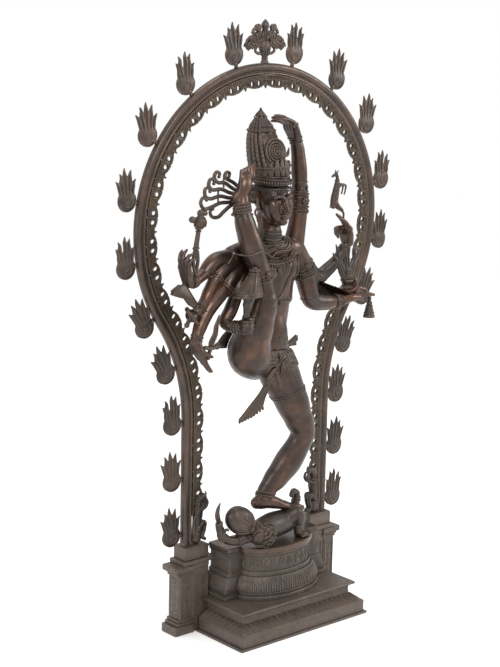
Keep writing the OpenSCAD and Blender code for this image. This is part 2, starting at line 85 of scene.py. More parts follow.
class Soup:
    """Vertices and faces gathered from many small closed forms."""

    def __init__(self):
        self.verts, self.faces, self.count = [], [], 0

    def add(self, verts, faces):
        verts = np.asarray(verts, float).reshape(-1, 3)
        self.verts.append(verts)
        n = self.count
        self.faces.extend([[i + n for i in f] for f in faces])
        self.count += len(verts)

    def balls(self, centres, radii, level=2):
        """Ellipsoids at many centres, with one radius, three, or a row each."""
        v, f = ico(level)
        centres = np.asarray(centres, float).reshape(-1, 3)
        radii = np.broadcast_to(
            np.asarray(radii, float).reshape(-1, 1)
            if np.ndim(radii) == 1 and len(radii) == len(centres) and len(radii) != 3
            else radii,
            centres.shape,
        )
        verts = (centres[:, None, :] + v[None] * radii[:, None, :]).reshape(-1, 3)
        faces = (f[None] + (np.arange(len(centres)) * len(v))[:, None, None]).reshape(-1, 3)
        self.verts.append(verts)
        self.faces.extend((faces + self.count).tolist())
        self.count += len(verts)

    def limb(self, points, radii, dense=0.22, level=2):
        """A flowing limb: a spline of closely spaced ellipsoids."""
        c, r = spline(points, radii, dense)
        self.balls(c, r, level)

    def ball(self, p, r, level=2):
        self.balls([p], as3(r), level)

    def tube(self, points, radii, sides=8, closed=False, up=None, step=None, flat=1.0, twist=0.0):
        """A swept round or flattened tube. up sets the direction of the thin side."""
        pts, rad = [np.asarray(p, float) for p in points], radii
        if np.isscalar(rad):
            rad = [rad] * len(pts)
        if step:
            pts, rad = curve(pts, rad, step, closed)
        pts, rad = np.array(pts), np.array(rad, float)
        n = len(pts)
        ups = None if up is None else np.asarray(up, float)
        rows, last = [], None
        for i in range(n):
            a, b = (pts[(i + 1) % n], pts[i - 1]) if closed else (pts[min(i + 1, n - 1)],
                pts[max(i - 1, 0)])
            t = unit(a - b)
            if ups is not None:
                ref = ups if ups.ndim == 1 else ups[i]
            elif last is not None:
                ref = last
            else:
                ref = vec(0, 0, 1) if abs(t[2]) < 0.9 else vec(1, 0, 0)
            u = unit(ref - t * np.dot(ref, t))
            last = u
            w = np.cross(t, u)
            ang = around(sides) + twist
            rows.append(pts[i] + rad[i] * (flat * np.outer(np.cos(ang), u) + np.outer(np.sin(ang), w)))
        verts = np.vstack(rows)
        faces = []
        for i in range(n if closed else n - 1):
            j = (i + 1) % n
            for k in range(sides):
                m = (k + 1) % sides
                faces.append([i * sides + k, i * sides + m, j * sides + m, j * sides + k])
        if not closed:
            e = len(verts)
            verts = np.vstack([verts, pts[0] - unit(pts[1] - pts[0]) * rad[0] * 0.5,
                               pts[-1] + unit(pts[-1] - pts[-2]) * rad[-1] * 0.5])
            for k in range(sides):
                m = (k + 1) % sides
                faces.append([k, e, m])
                faces.append([(n - 1) * sides + m, e + 1, (n - 1) * sides + k])
        self.add(verts, faces)

    def lathe(self, profile, centre=(0, 0, 0), axis=(0, 0, 1), sides=24, squash=(1, 1), lean=(0, 0)):
        """A turned form: profile is (radius, height) from one end of the axis to the other."""
        axis = unit(axis)
        ref = vec(1, 0, 0) if abs(axis[0]) < 0.9 else vec(0, 1, 0)
        u = unit(ref - axis * np.dot(ref, axis))
        w = np.cross(axis, u)
        ang = around(sides)
        rows = []
        for r, h in profile:
            base = np.asarray(centre, float) + axis * h + u * lean[0] * h + w * lean[1] * h
            rows.append(base + r * (squash[0] * np.outer(np.cos(ang), u) + squash[1] * np.outer(np.sin(ang),
                w)))
        n = len(profile)
        verts = np.vstack(rows)
        faces = [[i * sides + k, i * sides + (k + 1) % sides, (i + 1) * sides + (k + 1) % sides,
            (i + 1) * sides + k]
                 for i in range(n - 1) for k in range(sides)]
        faces.append([k for k in range(sides - 1, -1, -1)])
        faces.append([(n - 1) * sides + k for k in range(sides)])
        self.add(verts, faces)

    def sweep(self, points, frames, section, closed=False):
        """section points (a, b) carried along points, where frames gives (axis_a, axis_b)."""
        n, m = len(points), len(section)
        verts = np.vstack([
            [np.asarray(points[i]) + a * frames[i][0] + b * frames[i][1] for a, b in section]
            for i in range(n)])
        faces = []
        for i in range(n if closed else n - 1):
            j = (i + 1) % n
            for k in range(m):
                q = (k + 1) % m
                faces.append([i * m + k, i * m + q, j * m + q, j * m + k])
        if not closed:
            faces.append(list(range(m - 1, -1, -1)))
            faces.append([(n - 1) * m + k for k in range(m)])
        self.add(verts, faces)

    def rings(self, loops):
        """A closed stack of outlines that all have the same number of points."""
        m = len(loops[0])
        verts = np.vstack(loops)
        faces = [[i * m + k, i * m + (k + 1) % m, (i + 1) * m + (k + 1) % m, (i + 1) * m + k]
                 for i in range(len(loops) - 1) for k in range(m)]
        faces.append(list(range(m - 1, -1, -1)))
        faces.append([(len(loops) - 1) * m + k for k in range(m)])
        self.add(verts, faces)

    def merge(self, other, matrix=None):
        for v in other.verts:
            self.verts.append(v if matrix is None else v @ matrix[0].T + matrix[1])
        self.faces.extend([[i + self.count for i in f] for f in other.faces])
        self.count += other.count

    def array(self):
        return np.vstack(self.verts)


def cr(p0, p1, p2, p3, t):
    return 0.5 * (2 * p1 + (p2 - p0) * t + (2 * p0 - 5 * p1 + 4 * p2 - p3) * t ** 2
                  + (3 * p1 - p0 - 3 * p2 + p3) * t ** 3)


def curve(points, radii, step, closed=False):
    """Catmull-Rom through the points, with scalar radii, at about step apart."""
    p = np.array(points, float)
    r = np.array([radii] * len(p) if np.isscalar(radii) else radii, float)
    n = len(p)
    out, rad = [], []
    for i in range(n if closed else n - 1):
        ids = [(i - 1) % n, i, (i + 1) % n, (i + 2) % n] if closed else [max(i - 1, 0), i, i + 1,
            min(i + 2, n - 1)]
        count = max(1, int(math.ceil(np.linalg.norm(p[ids[2]] - p[ids[1]]) / step)))
        for k in range(count):
            t = k / count
            out.append(cr(*[p[q] for q in ids], t))
            rad.append(r[ids[1]] * (1 - t) + r[ids[2]] * t)
    if not closed:
        out.append(p[-1])
        rad.append(r[-1])
    return out, rad


def spline(points, radii, dense):
    """Catmull-Rom through the points with ellipsoid radii, spaced by a share of the radius."""
    p = np.array(points, float)
    r = np.array([as3(x) for x in radii])
    out, rad = [], []
    n = len(p)
    for i in range(n - 1):
        ids = [max(i - 1, 0), i, i + 1, min(i + 2, n - 1)]
        gap = max(min(r[i].min(), r[i + 1].min()) * dense, 0.5)
        count = max(1, int(math.ceil(np.linalg.norm(p[i + 1] - p[i]) / gap)))
        for k in range(count):
            t = k / count
            s = t * t * (3 - 2 * t)
            out.append(cr(*[p[q] for q in ids], t))
            rad.append(r[i] * (1 - s) + r[i + 1] * s)
    out.append(p[-1])
    rad.append(r[-1])
    return np.array(out), np.array(rad)


def to_mesh(verts, faces, name):
    mesh = bpy.data.meshes.new(name)
    v = np.array(verts, float)
    v = (v + vec(0, ARCH_Y, 0)) * MM
    mesh.from_pydata(v.tolist(), [], faces)
    mesh.validate()
    return mesh


def link(mesh, name):
    ob = bpy.data.objects.new(name, mesh)
    bpy.context.scene.collection.objects.link(ob)
    return ob


def fused(soup, voxel, smooth=6, factor=0.5):
    """One skin round everything in the soup, smoothed: (vertices in mm, faces)."""
    ob = link(to_mesh(soup.array(), soup.faces, "tmp"), "tmp")
    mod = ob.modifiers.new("skin", "REMESH")
    mod.mode = "VOXEL"
    mod.voxel_size = voxel * MM
    if smooth:
        sm = ob.modifiers.new("smooth", "SMOOTH")
        sm.factor = factor
        sm.iterations = smooth
    dg = bpy.context.evaluated_depsgraph_get()
    me = bpy.data.meshes.new_from_object(ob.evaluated_get(dg))
    n = len(me.vertices)
    v = np.empty(n * 3)
    me.vertices.foreach_get("co", v)
    v = v.reshape(-1, 3) / MM - vec(0, ARCH_Y, 0)
    faces = [list(p.vertices) for p in me.polygons]
    old = ob.data
    bpy.data.objects.remove(ob)
    bpy.data.meshes.remove(old)
    bpy.data.meshes.remove(me)
    return v, faces


def piece(name, body, material, soup=None, skin=None, replaces=(), smooth=True, bevel=None,
        recalc=True):
    """Makes one visible piece from a fused skin and a soup of separate small forms."""
    total = Soup()
    if skin is not None:
        total.add(*skin)
    if soup is not None:
        total.merge(soup)
    me = to_mesh(total.array(), total.faces, name)
    if recalc:
        bm = bmesh.new()
        bm.from_mesh(me)
        bmesh.ops.recalc_face_normals(bm, faces=bm.faces)
        bm.to_mesh(me)
        bm.free()
    ob = link(me, name)
    if smooth is True:
        me.polygons.foreach_set("use_smooth", [True] * len(me.polygons))
    elif smooth:
        me.polygons.foreach_set("use_smooth", [True] * len(me.polygons))
        me.set_sharp_from_angle(angle=math.radians(smooth))
    if bevel:
        mod = ob.modifiers.new("edges", "BEVEL")
        mod.width, mod.segments, mod.limit_method = bevel * MM, 2, "ANGLE"
        mod.angle_limit = math.radians(35)
    me.materials.append(material)
    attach(ob, body)
    if replaces:
        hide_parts(*replaces)
    return ob


class Skin:
    """Looks up a fused skin, so that ornaments lie on it."""

    def __init__(self, skin):
        self.tree = BVHTree.FromPolygons([Vector(v) for v in skin[0]], skin[1])

    def near(self, p, lift=0.0):
        q, n, _, _ = self.tree.find_nearest(Vector(p))
        return np.array(q) + np.array(n) * lift, np.array(n)

    def ray(self, origin, direction, reach=400.0):
        """The outermost hit along a ray from inside the form."""
        q, n, _, _ = self.tree.ray_cast(Vector(origin), Vector(direction), reach)
        return (None, None) if q is None else (np.array(q), np.array(n))

    def band(self, centre, normal, count=48, reach=70.0):
        """A loop round a limb: the first skin hit by rays spread from the centre."""
        normal = unit(normal)
        ref = vec(1, 0, 0) if abs(normal[0]) < 0.8 else vec(0, 1, 0)
        u = unit(ref - normal * np.dot(ref, normal))
        w = np.cross(normal, u)
        out = []
        for k in range(count):
            a = 2 * math.pi * k / count
            d = math.cos(a) * u + math.sin(a) * w
            q, _ = self.ray(centre, d, reach)
            if q is None:
                q = np.asarray(centre, float) + d * (np.linalg.norm(out[-1] - centre) if out else 10)
            out.append(q)
        out = np.array(out)
        for _ in range(3):
            out = (np.roll(out, 1, 0) + 2 * out + np.roll(out, -1, 0)) / 4
        return out


# ---------- materials ----------

def node(tree, kind, **values):
    n = tree.nodes.new(kind)
    for k, v in values.items():
        if k in n.inputs:
            n.inputs[k].default_value = v
        else:
            setattr(n, k, v)
    return n


def ramp(tree, source, stops):
    """A colour ramp; stops are (position, colour or grey)."""
    r = tree.nodes.new("ShaderNodeValToRGB")
    while len(r.color_ramp.elements) > 1:
        r.color_ramp.elements.remove(r.color_ramp.elements[-1])
    for i, (pos, c) in enumerate(stops):
        e = r.color_ramp.elements[0] if i == 0 else r.color_ramp.elements.new(pos)
        e.position = pos
        e.color = (*c, 1) if not np.isscalar(c) else (c, c, c, 1)
    tree.links.new(source, r.inputs["Fac"])
    return r.outputs["Color"]


def mix(tree, fac, a, b, mode="MIX"):
    m = tree.nodes.new("ShaderNodeMix")
    m.data_type, m.blend_type = "RGBA", mode
    for sock, value in ((m.inputs["Factor"], fac), (m.inputs[6], a), (m.inputs[7], b)):
        if isinstance(value, bpy.types.NodeSocket):
            tree.links.new(value, sock)
        elif np.isscalar(value):
            sock.default_value = value
        else:
            sock.default_value = (*value, 1)
    return m.outputs[2]


def bronze(name, dark, mid, warm, worn, dust, green_amount=0.3, dust_amount=0.3,
           metallic=0.55, rough=(0.34, 0.56), bump=0.25, grain=1.0, wear=1.0):
    """Aged bronze: mottled brown patina, blue-grey painted sheen, dusty hollows, rubbed edges, verdigris.
    """
    m = bpy.data.materials.new(name)
    m.use_nodes = True
    t = m.node_tree
    t.nodes.clear()
    out = t.nodes.new("ShaderNodeOutputMaterial")
    sh = node(t, "ShaderNodeBsdfPrincipled", Metallic=metallic)
    sh.inputs["Specular IOR Level"].default_value = 0.6
    sh.inputs["Coat Weight"].default_value = 0.12
    sh.inputs["Coat Roughness"].default_value = 0.3
    t.links.new(sh.outputs[0], out.inputs["Surface"])
    co = t.nodes.new("ShaderNodeTexCoord").outputs["Object"]

    def noise(scale, detail=5.0, rough_=0.6, distortion=0.0):
        n = node(t, "ShaderNodeTexNoise", Scale=scale, Detail=detail, Roughness=rough_,
            Distortion=distortion)
        t.links.new(co, n.inputs["Vector"])
        return n.outputs["Fac"]

    broad, fine, speck = noise(11, 6, 0.62, 0.6), noise(70, 8, 0.7), noise(340 * grain, 4, 0.7)
    colour = ramp(t, broad, [(0.32, dark), (0.5, mid), (0.66, warm)])
    colour = mix(t, ramp(t, fine, [(0.4, 0.0), (0.68, 0.5)]), colour, dark)
    # blue-grey painted sheen: noise patches of lighter blue-grey mixed into the colour where reflected
    # light would show
    painted_sheen = ramp(t, noise(23, 5, 0.6, 1.0), [(0.52, 0.0), (0.7, 0.35)])
    colour = mix(t, painted_sheen, colour, (0.066, 0.065, 0.076))
    point = t.nodes.new("ShaderNodeNewGeometry").outputs["Pointiness"]
    hollow = ramp(t, point, [(0.44, 1.0), (0.497, 0.0)])
    edge = ramp(t, point, [(0.512, 0.0), (0.57, 1.0)])
    dusty = mix(t, dust_amount, (0, 0, 0),
        mix(t, ramp(t, fine, [(0.3, 0.35), (0.65, 1.0)]), (0, 0, 0), hollow))
    colour = mix(t, dusty, colour, dust)
    mottled = ramp(t, noise(150, 6, 0.75), [(0.35, 0.25), (0.62, 1.0)])
    rubbed = mix(t, 0.55 * wear, (0, 0, 0), mix(t, mottled, (0, 0, 0), edge))
    colour = mix(t, rubbed, colour, worn)
    patch = ramp(t, noise(31, 7, 0.7, 0.4), [(0.64, 0.0), (0.72, 1.0)])
    green = mix(t, green_amount, (0, 0, 0), mix(t, mottled, (0, 0, 0), patch))
    colour = mix(t, green, colour, (0.10, 0.20, 0.15))
    t.links.new(colour, sh.inputs["Base Color"])
    rg = node(t, "ShaderNodeMapRange")
    rg.inputs["To Min"].default_value, rg.inputs["To Max"].default_value = rough
    rg.inputs["From Min"].default_value, rg.inputs["From Max"].default_value = 0.32, 0.68
    t.links.new(fine, rg.inputs["Value"])
    t.links.new(rg.outputs[0], sh.inputs["Roughness"])
    b1 = node(t, "ShaderNodeBump", Strength=bump, Distance=0.0012)
    t.links.new(fine, b1.inputs["Height"])
    b2 = node(t, "ShaderNodeBump", Strength=bump * 0.8, Distance=0.0004)
    t.links.new(speck, b2.inputs["Height"])
    t.links.new(b1.outputs[0], b2.inputs["Normal"])
    t.links.new(b2.outputs[0], sh.inputs["Normal"])
    return m


BODY = bronze("body_bronze", (0.018, 0.011, 0.008), (0.044, 0.023, 0.014), (0.100, 0.043, 0.022),
              (0.17, 0.10, 0.068), (0.050, 0.038, 0.028), 0.10, 0.4, rough=(0.27, 0.44), bump=0.12)
DARK = bronze("dark_cast_bronze", (0.018, 0.013, 0.010), (0.040, 0.027, 0.020), (0.068, 0.042, 0.028),
              (0.15, 0.11, 0.085), (0.052, 0.043, 0.032), 0.16, 0.5, rough=(0.34, 0.55), bump=0.3, wear=0.8)
RIM = bronze("rim_bronze", (0.022, 0.015, 0.011), (0.048, 0.030, 0.021), (0.082, 0.046, 0.028),
             (0.16, 0.11, 0.08), (0.058, 0.046, 0.034), 0.10, 0.4, rough=(0.33, 0.52), bump=0.22)
FRIEZE = bronze("frieze_bronze", (0.022, 0.016, 0.011), (0.046, 0.032, 0.020), (0.080, 0.050, 0.027),
                (0.13, 0.092, 0.058), (0.052, 0.041, 0.026), 0.16, 0.5, rough=(0.38, 0.58), bump=0.3,
                    wear=0.7)
BASE = bronze("base_bronze", (0.024, 0.018, 0.014), (0.048, 0.036, 0.028), (0.076, 0.055, 0.041),
              (0.15, 0.115, 0.088), (0.074, 0.060, 0.045), 0.16, 0.7, metallic=0.4, rough=(0.42, 0.66),
                  bump=0.45, wear=0.9)
ORNAMENT = bronze("ornament_bronze", (0.018, 0.012, 0.009), (0.040, 0.026, 0.018), (0.068, 0.042, 0.027),
                  (0.115, 0.080, 0.055), (0.044, 0.034, 0.025), 0.30, 0.6, rough=(0.34, 0.54), bump=0.3,
                      wear=0.7)


# ---------- camera, floor and light ----------

cam = bpy.data.objects.new("camera", bpy.data.cameras.new("camera"))
bpy.context.scene.collection.objects.link(cam)
cam.data.lens, cam.data.sensor_width, cam.data.sensor_fit = 87.79, 36, "AUTO"
cam.data.clip_start, cam.data.clip_end = 0.05, 60
cam.matrix_world = Matrix((
    (0.7565, 0.1234, -0.6422, -2.567),
    (-0.6537, 0.1720, -0.7370, -2.827),
    (0.0195, 0.9773, 0.2108, 1.549),
    (0, 0, 0, 1)))
bpy.context.scene.camera = cam

world = bpy.data.worlds.new("studio")
bpy.context.scene.world = world
world.use_nodes = True
world.node_tree.nodes["Background"].inputs["Color"].default_value = (1, 1, 1, 1)
world.node_tree.nodes["Background"].inputs["Strength"].default_value = 1.0


def area(name, place, target, size, power, colour=(1, 1, 1)):
    lamp = bpy.data.objects.new(name, bpy.data.lights.new(name, "AREA"))
    lamp.data.shape, lamp.data.size, lamp.data.energy, lamp.data.color = "SQUARE", size, power, colour
    lamp.location = place
    lamp.rotation_euler = (Vector(target) - Vector(place)).to_track_quat("-Z", "Y").to_euler()
    bpy.context.scene.collection.objects.link(lamp)


area("key", (-1.2, -3.0, 3.0), (0, 0, 0.8), 1.1, 70, (1.0, 0.99, 0.97))
area("side", (2.6, -1.9, 1.9), (0, 0, 0.8), 1.2, 48, (1.0, 0.96, 0.92))
area("left", (-3.2, 0.3, 1.6), (0, 0, 0.8), 1.4, 34, (0.92, 0.95, 1.0))
area("top", (0.2, 0.4, 3.6), (0, 0, 0.8), 1.6, 30)

bpy.context.scene.view_settings.view_transform = "Standard"

floor_mesh = bpy.data.meshes.new("floor")
half = FLOOR_SIZE / 2
floor_mesh.from_pydata([(-half, -half, 0), (half, -half, 0), (half, half, 0), (-half, half, 0)], [],
    [(0, 1, 2, 3)])
floor = link(floor_mesh, "floor")
pale = bpy.data.materials.new("pale_floor")
pale.use_nodes = True
pale.node_tree.nodes["Principled BSDF"].inputs["Base Color"].default_value = (0.95, 0.95, 0.95, 1)
pale.node_tree.nodes["Principled BSDF"].inputs["Roughness"].default_value = 0.9
pale.node_tree.nodes["Principled BSDF"].inputs["Specular IOR Level"].default_value = 0.1
floor_mesh.materials.append(pale)


# ---------- arch ----------

ARCH_R, ARCH_Z, DROP = 380.0, 985.0, math.radians(35)
REVERSE_R, RIM_W, FRIEZE_W = 420.0, 27.0, 31.0
ARC_1 = ARCH_R * (math.pi / 2 + DROP)
REVERSE_X = (ARCH_R + REVERSE_R) * math.cos(DROP)
REVERSE_Z = ARCH_Z - (ARCH_R + REVERSE_R) * math.sin(DROP)
LEG_X = REVERSE_X - REVERSE_R
ARC_2 = REVERSE_R * DROP
LEG_FOOT = 217.3
FRIEZE_FOOT = 300.0
PAIRS = 19


def arch_angle(s):
    if s < ARC_1:
        return math.pi / 2 - s / ARCH_R
    return min((s - ARC_1) / REVERSE_R - DROP, 0.0)


def arch_at(s, u=0.0, y=0.0):
    """Point at signed distance s from the top along the outer edge, u inwards."""
    side, s = (-1 if s < 0 else 1), abs(s)
    a = arch_angle(s)
    if s < ARC_1:
        x, z = (ARCH_R - u) * math.cos(a), ARCH_Z + (ARCH_R - u) * math.sin(a)
    elif s < ARC_1 + ARC_2:
        x, z = REVERSE_X - (REVERSE_R + u) * math.cos(a), REVERSE_Z - (REVERSE_R + u) * math.sin(a)
    else:
        x, z = LEG_X - u, REVERSE_Z - (s - ARC_1 - ARC_2)
    return vec(side * x, y, z)


def arch_out(s):
    a = arch_angle(abs(s))
    return vec(math.copysign(1, s) * math.cos(a) if s else 0.0, 0, math.sin(a))


MID_U = RIM_W + FRIEZE_W / 2
MID_1 = ARC_1 * (ARCH_R - MID_U) / ARCH_R
MID_2 = ARC_2 * (REVERSE_R + MID_U) / REVERSE_R
FRIEZE_LEN = MID_1 + MID_2 + REVERSE_Z - FRIEZE_FOOT


def edge_length(m):
    m = abs(m)
    if m < MID_1:
        return m * ARCH_R / (ARCH_R - MID_U)
    if m < MID_1 + MID_2:
        return ARC_1 + (m - MID_1) * REVERSE_R / (REVERSE_R + MID_U)
    return ARC_1 + ARC_2 + m - MID_1 - MID_2


def frieze_at(m, u, y):
    p = arch_at(edge_length(m), u, y)
    return p if m >= 0 else p * vec(-1, 1, 1)


def make_rim():
    s = Soup()
    top = ARC_1 + ARC_2 + REVERSE_Z - LEG_FOOT
    stations = np.linspace(-top, top, 381)
    half = [(0.2, 3.6), (0.9, 6.0), (2.4, 8.0), (4.8, 9.4), (7.6, 10.0), (10.6, 9.9), (13.4, 8.9),
        (15.6, 7.3),
            (17.0, 5.6), (18.0, 4.6), (19.4, 4.6), (20.2, 5.6), (21.4, 6.9), (23.2, 7.5), (25.2, 7.4),
                (26.6, 6.4), (27.0, 4.6)]
    section = [(u, t) for u, t in half] + [(u, -t) for u, t in reversed(half)]
    pts = [arch_at(x) for x in stations]
    frames = [(-arch_out(x) if x else vec(0, 0, -1), vec(0, 1, 0)) for x in stations]
    s.sweep(pts, frames, section)
    for side in (-1, 1):
        x0 = side * (LEG_X - RIM_W / 2)
        loops = [[(x0 + a, b, z) for a,
            b in ((-6 + c, -4.5 + c), (6 - c, -4.5 + c), (6 - c, 4.5 - c), (-6 + c, 4.5 - c))]
                 for z, c in ((177.0, 1.5), (179.0, 0.0), (230.0, 0.0))]
        s.rings(loops)
    piece("arch_rim_moulding", "arch", RIM, s, replaces=["arch_rim"], smooth=42)


FRONT, BACK = -9.0, -1.0


def hole_cell(s, m0, half_w, hole_m):
    """One drop-shaped hole with a raised lip in its share of the frieze."""
    n = 28
    cu = RIM_W + 19.0
    hole, outer = [], []
    for k in range(n):
        a = 2 * math.pi * k / n
        du, dm = math.cos(a), math.sin(a)
        r_u = 9.0 if du < 0 else 6.6
        narrow = 1.0 if du > -0.2 else 1.0 - 0.45 * (-du - 0.2) / 0.8
        hole.append((4.9 * dm * narrow, r_u * du))
        limits = [half_w / abs(dm) if abs(dm) > 1e-6 else 1e9]
        if du < -1e-6:
            limits.append((cu - RIM_W - 0.6) / -du)
        if du > 1e-6:
            limits.append((RIM_W + FRIEZE_W - cu) / du)
        reach = min(limits)
        dm_, du_ = dm * reach, du * reach
        if du > 0:
            edge = RIM_W + FRIEZE_W - 0.4 - 5.0 * (abs(m0 + dm_ - hole_m) / 22.0) ** 2.2 - cu
            if du_ > edge:
                du_ = edge
        outer.append((dm_, du_))
    loops = []
    for share, y in ((0.0, FRONT + 1.2), (0.16, FRONT - 0.9), (0.36, FRONT - 0.6), (0.52, FRONT + 0.6),
                     (0.8, FRONT + 0.5), (1.0, FRONT - 0.2), (1.0, BACK), (0.2, BACK), (0.0, BACK - 0.8)):
        loops.append([frieze_at(m0 + h[0] * (1 - share) + o[0] * share,
                                cu + h[1] * (1 - share) + o[1] * share, y) for h, o in zip(hole, outer)])
    m = n
    verts = np.vstack(loops)
    faces = []
    for i in range(len(loops)):
        j = (i + 1) % len(loops)
        for k in range(m):
            q = (k + 1) % m
            faces.append([i * m + k, i * m + q, j * m + q, j * m + k])
    s.add(verts, faces)


def make_frieze():
    s = Soup()
    pitch = FRIEZE_LEN / PAIRS
    for side in (-1, 1):
        for k in range(PAIRS):
            mid = (k + 0.5) * pitch
            for h in (-1, 1):
                hole_cell(s, side * (mid + h * 11.0), 11.0, side * mid)
            # plain stretch between pairs, ending in a small spur
            for a, b, spur in ((mid - pitch / 2, mid - 22, -1), (mid + 22, mid + pitch / 2, 1)):
                loops = []
                for t in np.linspace(0, 1, 7):
                    m = a * (1 - t) + b * t
                    near = t if spur > 0 else 1 - t
                    u1 = RIM_W + FRIEZE_W - 5.4 + (-1.6 * math.sin(math.pi * near) + 4.2 * near ** 5)
                    loops.append([frieze_at(side * m, u, y) for u, y in (
                        (RIM_W + 0.6, FRONT), (RIM_W + 10, FRONT - 0.3), (RIM_W + 12, FRONT + 0.6),
                            (u1 - 3, FRONT + 0.6),
                        (u1 - 1.2, FRONT - 0.4), (u1, FRONT + 0.8), (u1, BACK - 0.8), (u1 - 1, BACK),
                            (RIM_W + 0.6, BACK))])
                s.rings(loops)
            for b in (-1, 1):
                s.tube([frieze_at(side * (mid + b * pitch / 2), RIM_W + FRIEZE_W - 2.5, -5.5),
                        frieze_at(side * (mid + b * pitch / 2), RIM_W + FRIEZE_W + 1.0, -6)], [2.4, 1.2],
                            sides=6)
                for j in range(3):
                    m = mid + b * (pitch / 2 - 7 + 2.6 * j)
                    s.tube([frieze_at(side * m, RIM_W + 12, FRONT + 0.4),
                        frieze_at(side * (m - b * 3), RIM_W + 23, FRONT + 0.4)],
                           [0.9, 0.7], sides=5)
            # scroll around the pair of holes
            s.tube([frieze_at(side * (mid + t), RIM_W + 26.6 - 4.6 * (abs(t) / 22) ** 2, FRONT - 0.2)
                    for t in np.linspace(-21, 21, 9)], 1.1, sides=6, step=6)
    count = int(FRIEZE_LEN / 5.6)
    for side in (-1, 1):
        for k in range(count):
            m = (k + 0.3) * FRIEZE_LEN / count
            s.tube([frieze_at(side * m, RIM_W + 1.2, FRONT + 0.1),
                frieze_at(side * (m + 3.2), RIM_W + 5.5, FRONT - 0.5),
                    frieze_at(side * min(m + 6.6, FRIEZE_LEN - 0.5), RIM_W + 10.2, FRONT + 0.1)],
                   [1.0, 1.7, 0.9], sides=6)
    for u, r in ((1.4, 1.2), (11.2, 1.0)):
        s.tube([frieze_at(m, RIM_W + u, FRONT + 0.1)
            for m in np.linspace(-FRIEZE_LEN + 1, FRIEZE_LEN - 1, 260)], r, sides=6)
        s.tube([frieze_at(m, RIM_W + u, BACK - 0.1)
            for m in np.linspace(-FRIEZE_LEN + 1, FRIEZE_LEN - 1, 260)], r * 0.8, sides=6)
    piece("pierced_frieze", "arch", FRIEZE, s, replaces=["arch_frieze"], smooth=50)


FLAME_R, FLAME_H = 29.0, 78.0
FLAME_LIMIT = 433.2


def flame_form(seed):
    """A flame in its own plane: x across, z up, bowl centre at the origin."""
    rnd = random.Random(seed)
    body, s = Soup(), Soup()
    body.limb([(-9, 0, 1), (9, 0, 1)], [(19, 5.4, 22), (19, 5.4, 22)], dense=0.9, level=3)
    body.ball((0, 0, -8), (18, 5.6, 17), 3)
    body.ball((0, 0, 14), (20, 4.2, 16), 3)
    tongues = [(-32, 0.72, -19, 6.6), (-17, 0.90, -11, 7.0), (-2, 0.97, -2, 7.4), (13, 0.88, 8, 7.0),
        (28, 0.74, 17, 6.4)]
    for deg, tall, x0, w in tongues:
        a = math.radians(deg + rnd.uniform(-2.5, 2.5))
        h = FLAME_H * (tall + rnd.uniform(-0.04, 0.03))
        tip = vec(h * math.sin(a), 0, h * math.cos(a))
        sway = rnd.uniform(1.5, 3.5) * (1 if deg < 8 else -1)
        p = [vec(x0 * 0.8, 0, 4), vec(x0, 0, 22), tip * 0.62 + vec(-sway * 0.8, 0, 3),
            tip * 0.84 + vec(sway * 0.5, 0, 0), tip]
        # pointed leaf-like tongue with a raised middle
        pts, rad = curve(p, [w * 0.95, w * 0.98, w, w * 0.78, 1.8], 4.0)
        body.tube(pts, [r for r in rad], sides=8, up=(0, 1, 0), flat=0.52)
        for y in (-1, 1):
            s.tube([q + vec(0, y * max(r * 0.52, 0.7), 0) for q, r in zip(pts[2:], rad[2:])],
                   [max(r * 0.26, 0.5) for r in rad[2:]], sides=6)
    skin = fused(body, 1.5, 3)
    for y in (-1, 1):
        # curled eye in the bowl
        spiral = [(vec((13.5 - 1.05 * k) * math.cos(0.62 * k + 2.6), 0,
            -4 + (13.5 - 1.05 * k) * math.sin(0.62 * k + 2.6))) for k in range(12)]
        s.tube([p + vec(0, y * (5.5 - 0.006 * (p[0] ** 2 + (p[2] + 4) ** 2)), 0) for p in spiral],
            [1.9 - 0.05 * k for k in range(12)], sides=6, step=2.5)
        s.ball((1.5, y * 5.2, -4), (3.4, 1.6, 3.4))
        rim_pts = [vec(23.5 * math.cos(a), y * 2.6, -1 + 22.5 * math.sin(a))
            for a in np.linspace(math.pi * 1.08, math.pi * 1.94, 14)]
        s.tube(rim_pts, 1.4, sides=6)
    return skin, s


def make_flames():
    forms = [flame_form(100 + k) for k in range(3)]
    for side, word in ((-1, "left"), (1, "right")):
        for i in range(1, 11):
            k = i - 1
            s_at = 88 + 146 * k - 0.45 * k * k
            p = arch_at(s_at)
            out = arch_out(s_at)
            centre = p + (FLAME_R + 2) * out
            lean = math.radians(22 if i in (6, 7) else 6)
            c, sn = math.cos(lean), math.sin(lean)
            rot = np.array([[c, 0, sn], [0, 1, 0], [-sn, 0, c]])
            skin, detail = forms[(k + (side > 0)) % 3]
            s = Soup()
            s.add(skin[0] @ rot.T + centre, skin[1])
            s.merge(detail, (rot, centre))
            # lug, collar and rivet
            s.tube([p + out * 0.8, p + out * 5, p + out * 14], [6.0, 4.8, 6.5], sides=10, up=(0, 1, 0),
                flat=0.75)
            s.lathe([(0.5, -5.4), (2.4, -5.0), (3.0, -4.2), (3.0, 4.2), (2.4, 5.0), (0.5, 5.4)],
                p + out * 6, (0, 1, 0), 12)
            # the outermost tongues are drawn in to the overall width
            reach = max(v[:, 0].max() for v in s.verts)
            if reach > FLAME_LIMIT:
                for v in s.verts:
                    far = v[:, 0] > centre[0]
                    v[far, 0] = centre[0] + (v[far,
                        0] - centre[0]) * (FLAME_LIMIT - centre[0]) / (reach - centre[0])
            if side < 0:
                for v in s.verts:
                    v[:, 0] *= -1
            piece(f"flame_{word}_{i:02d}_cast", "arch", DARK, s,
                replaces=[f"flame_{word}_{i}"])


# ---------- figure ----------

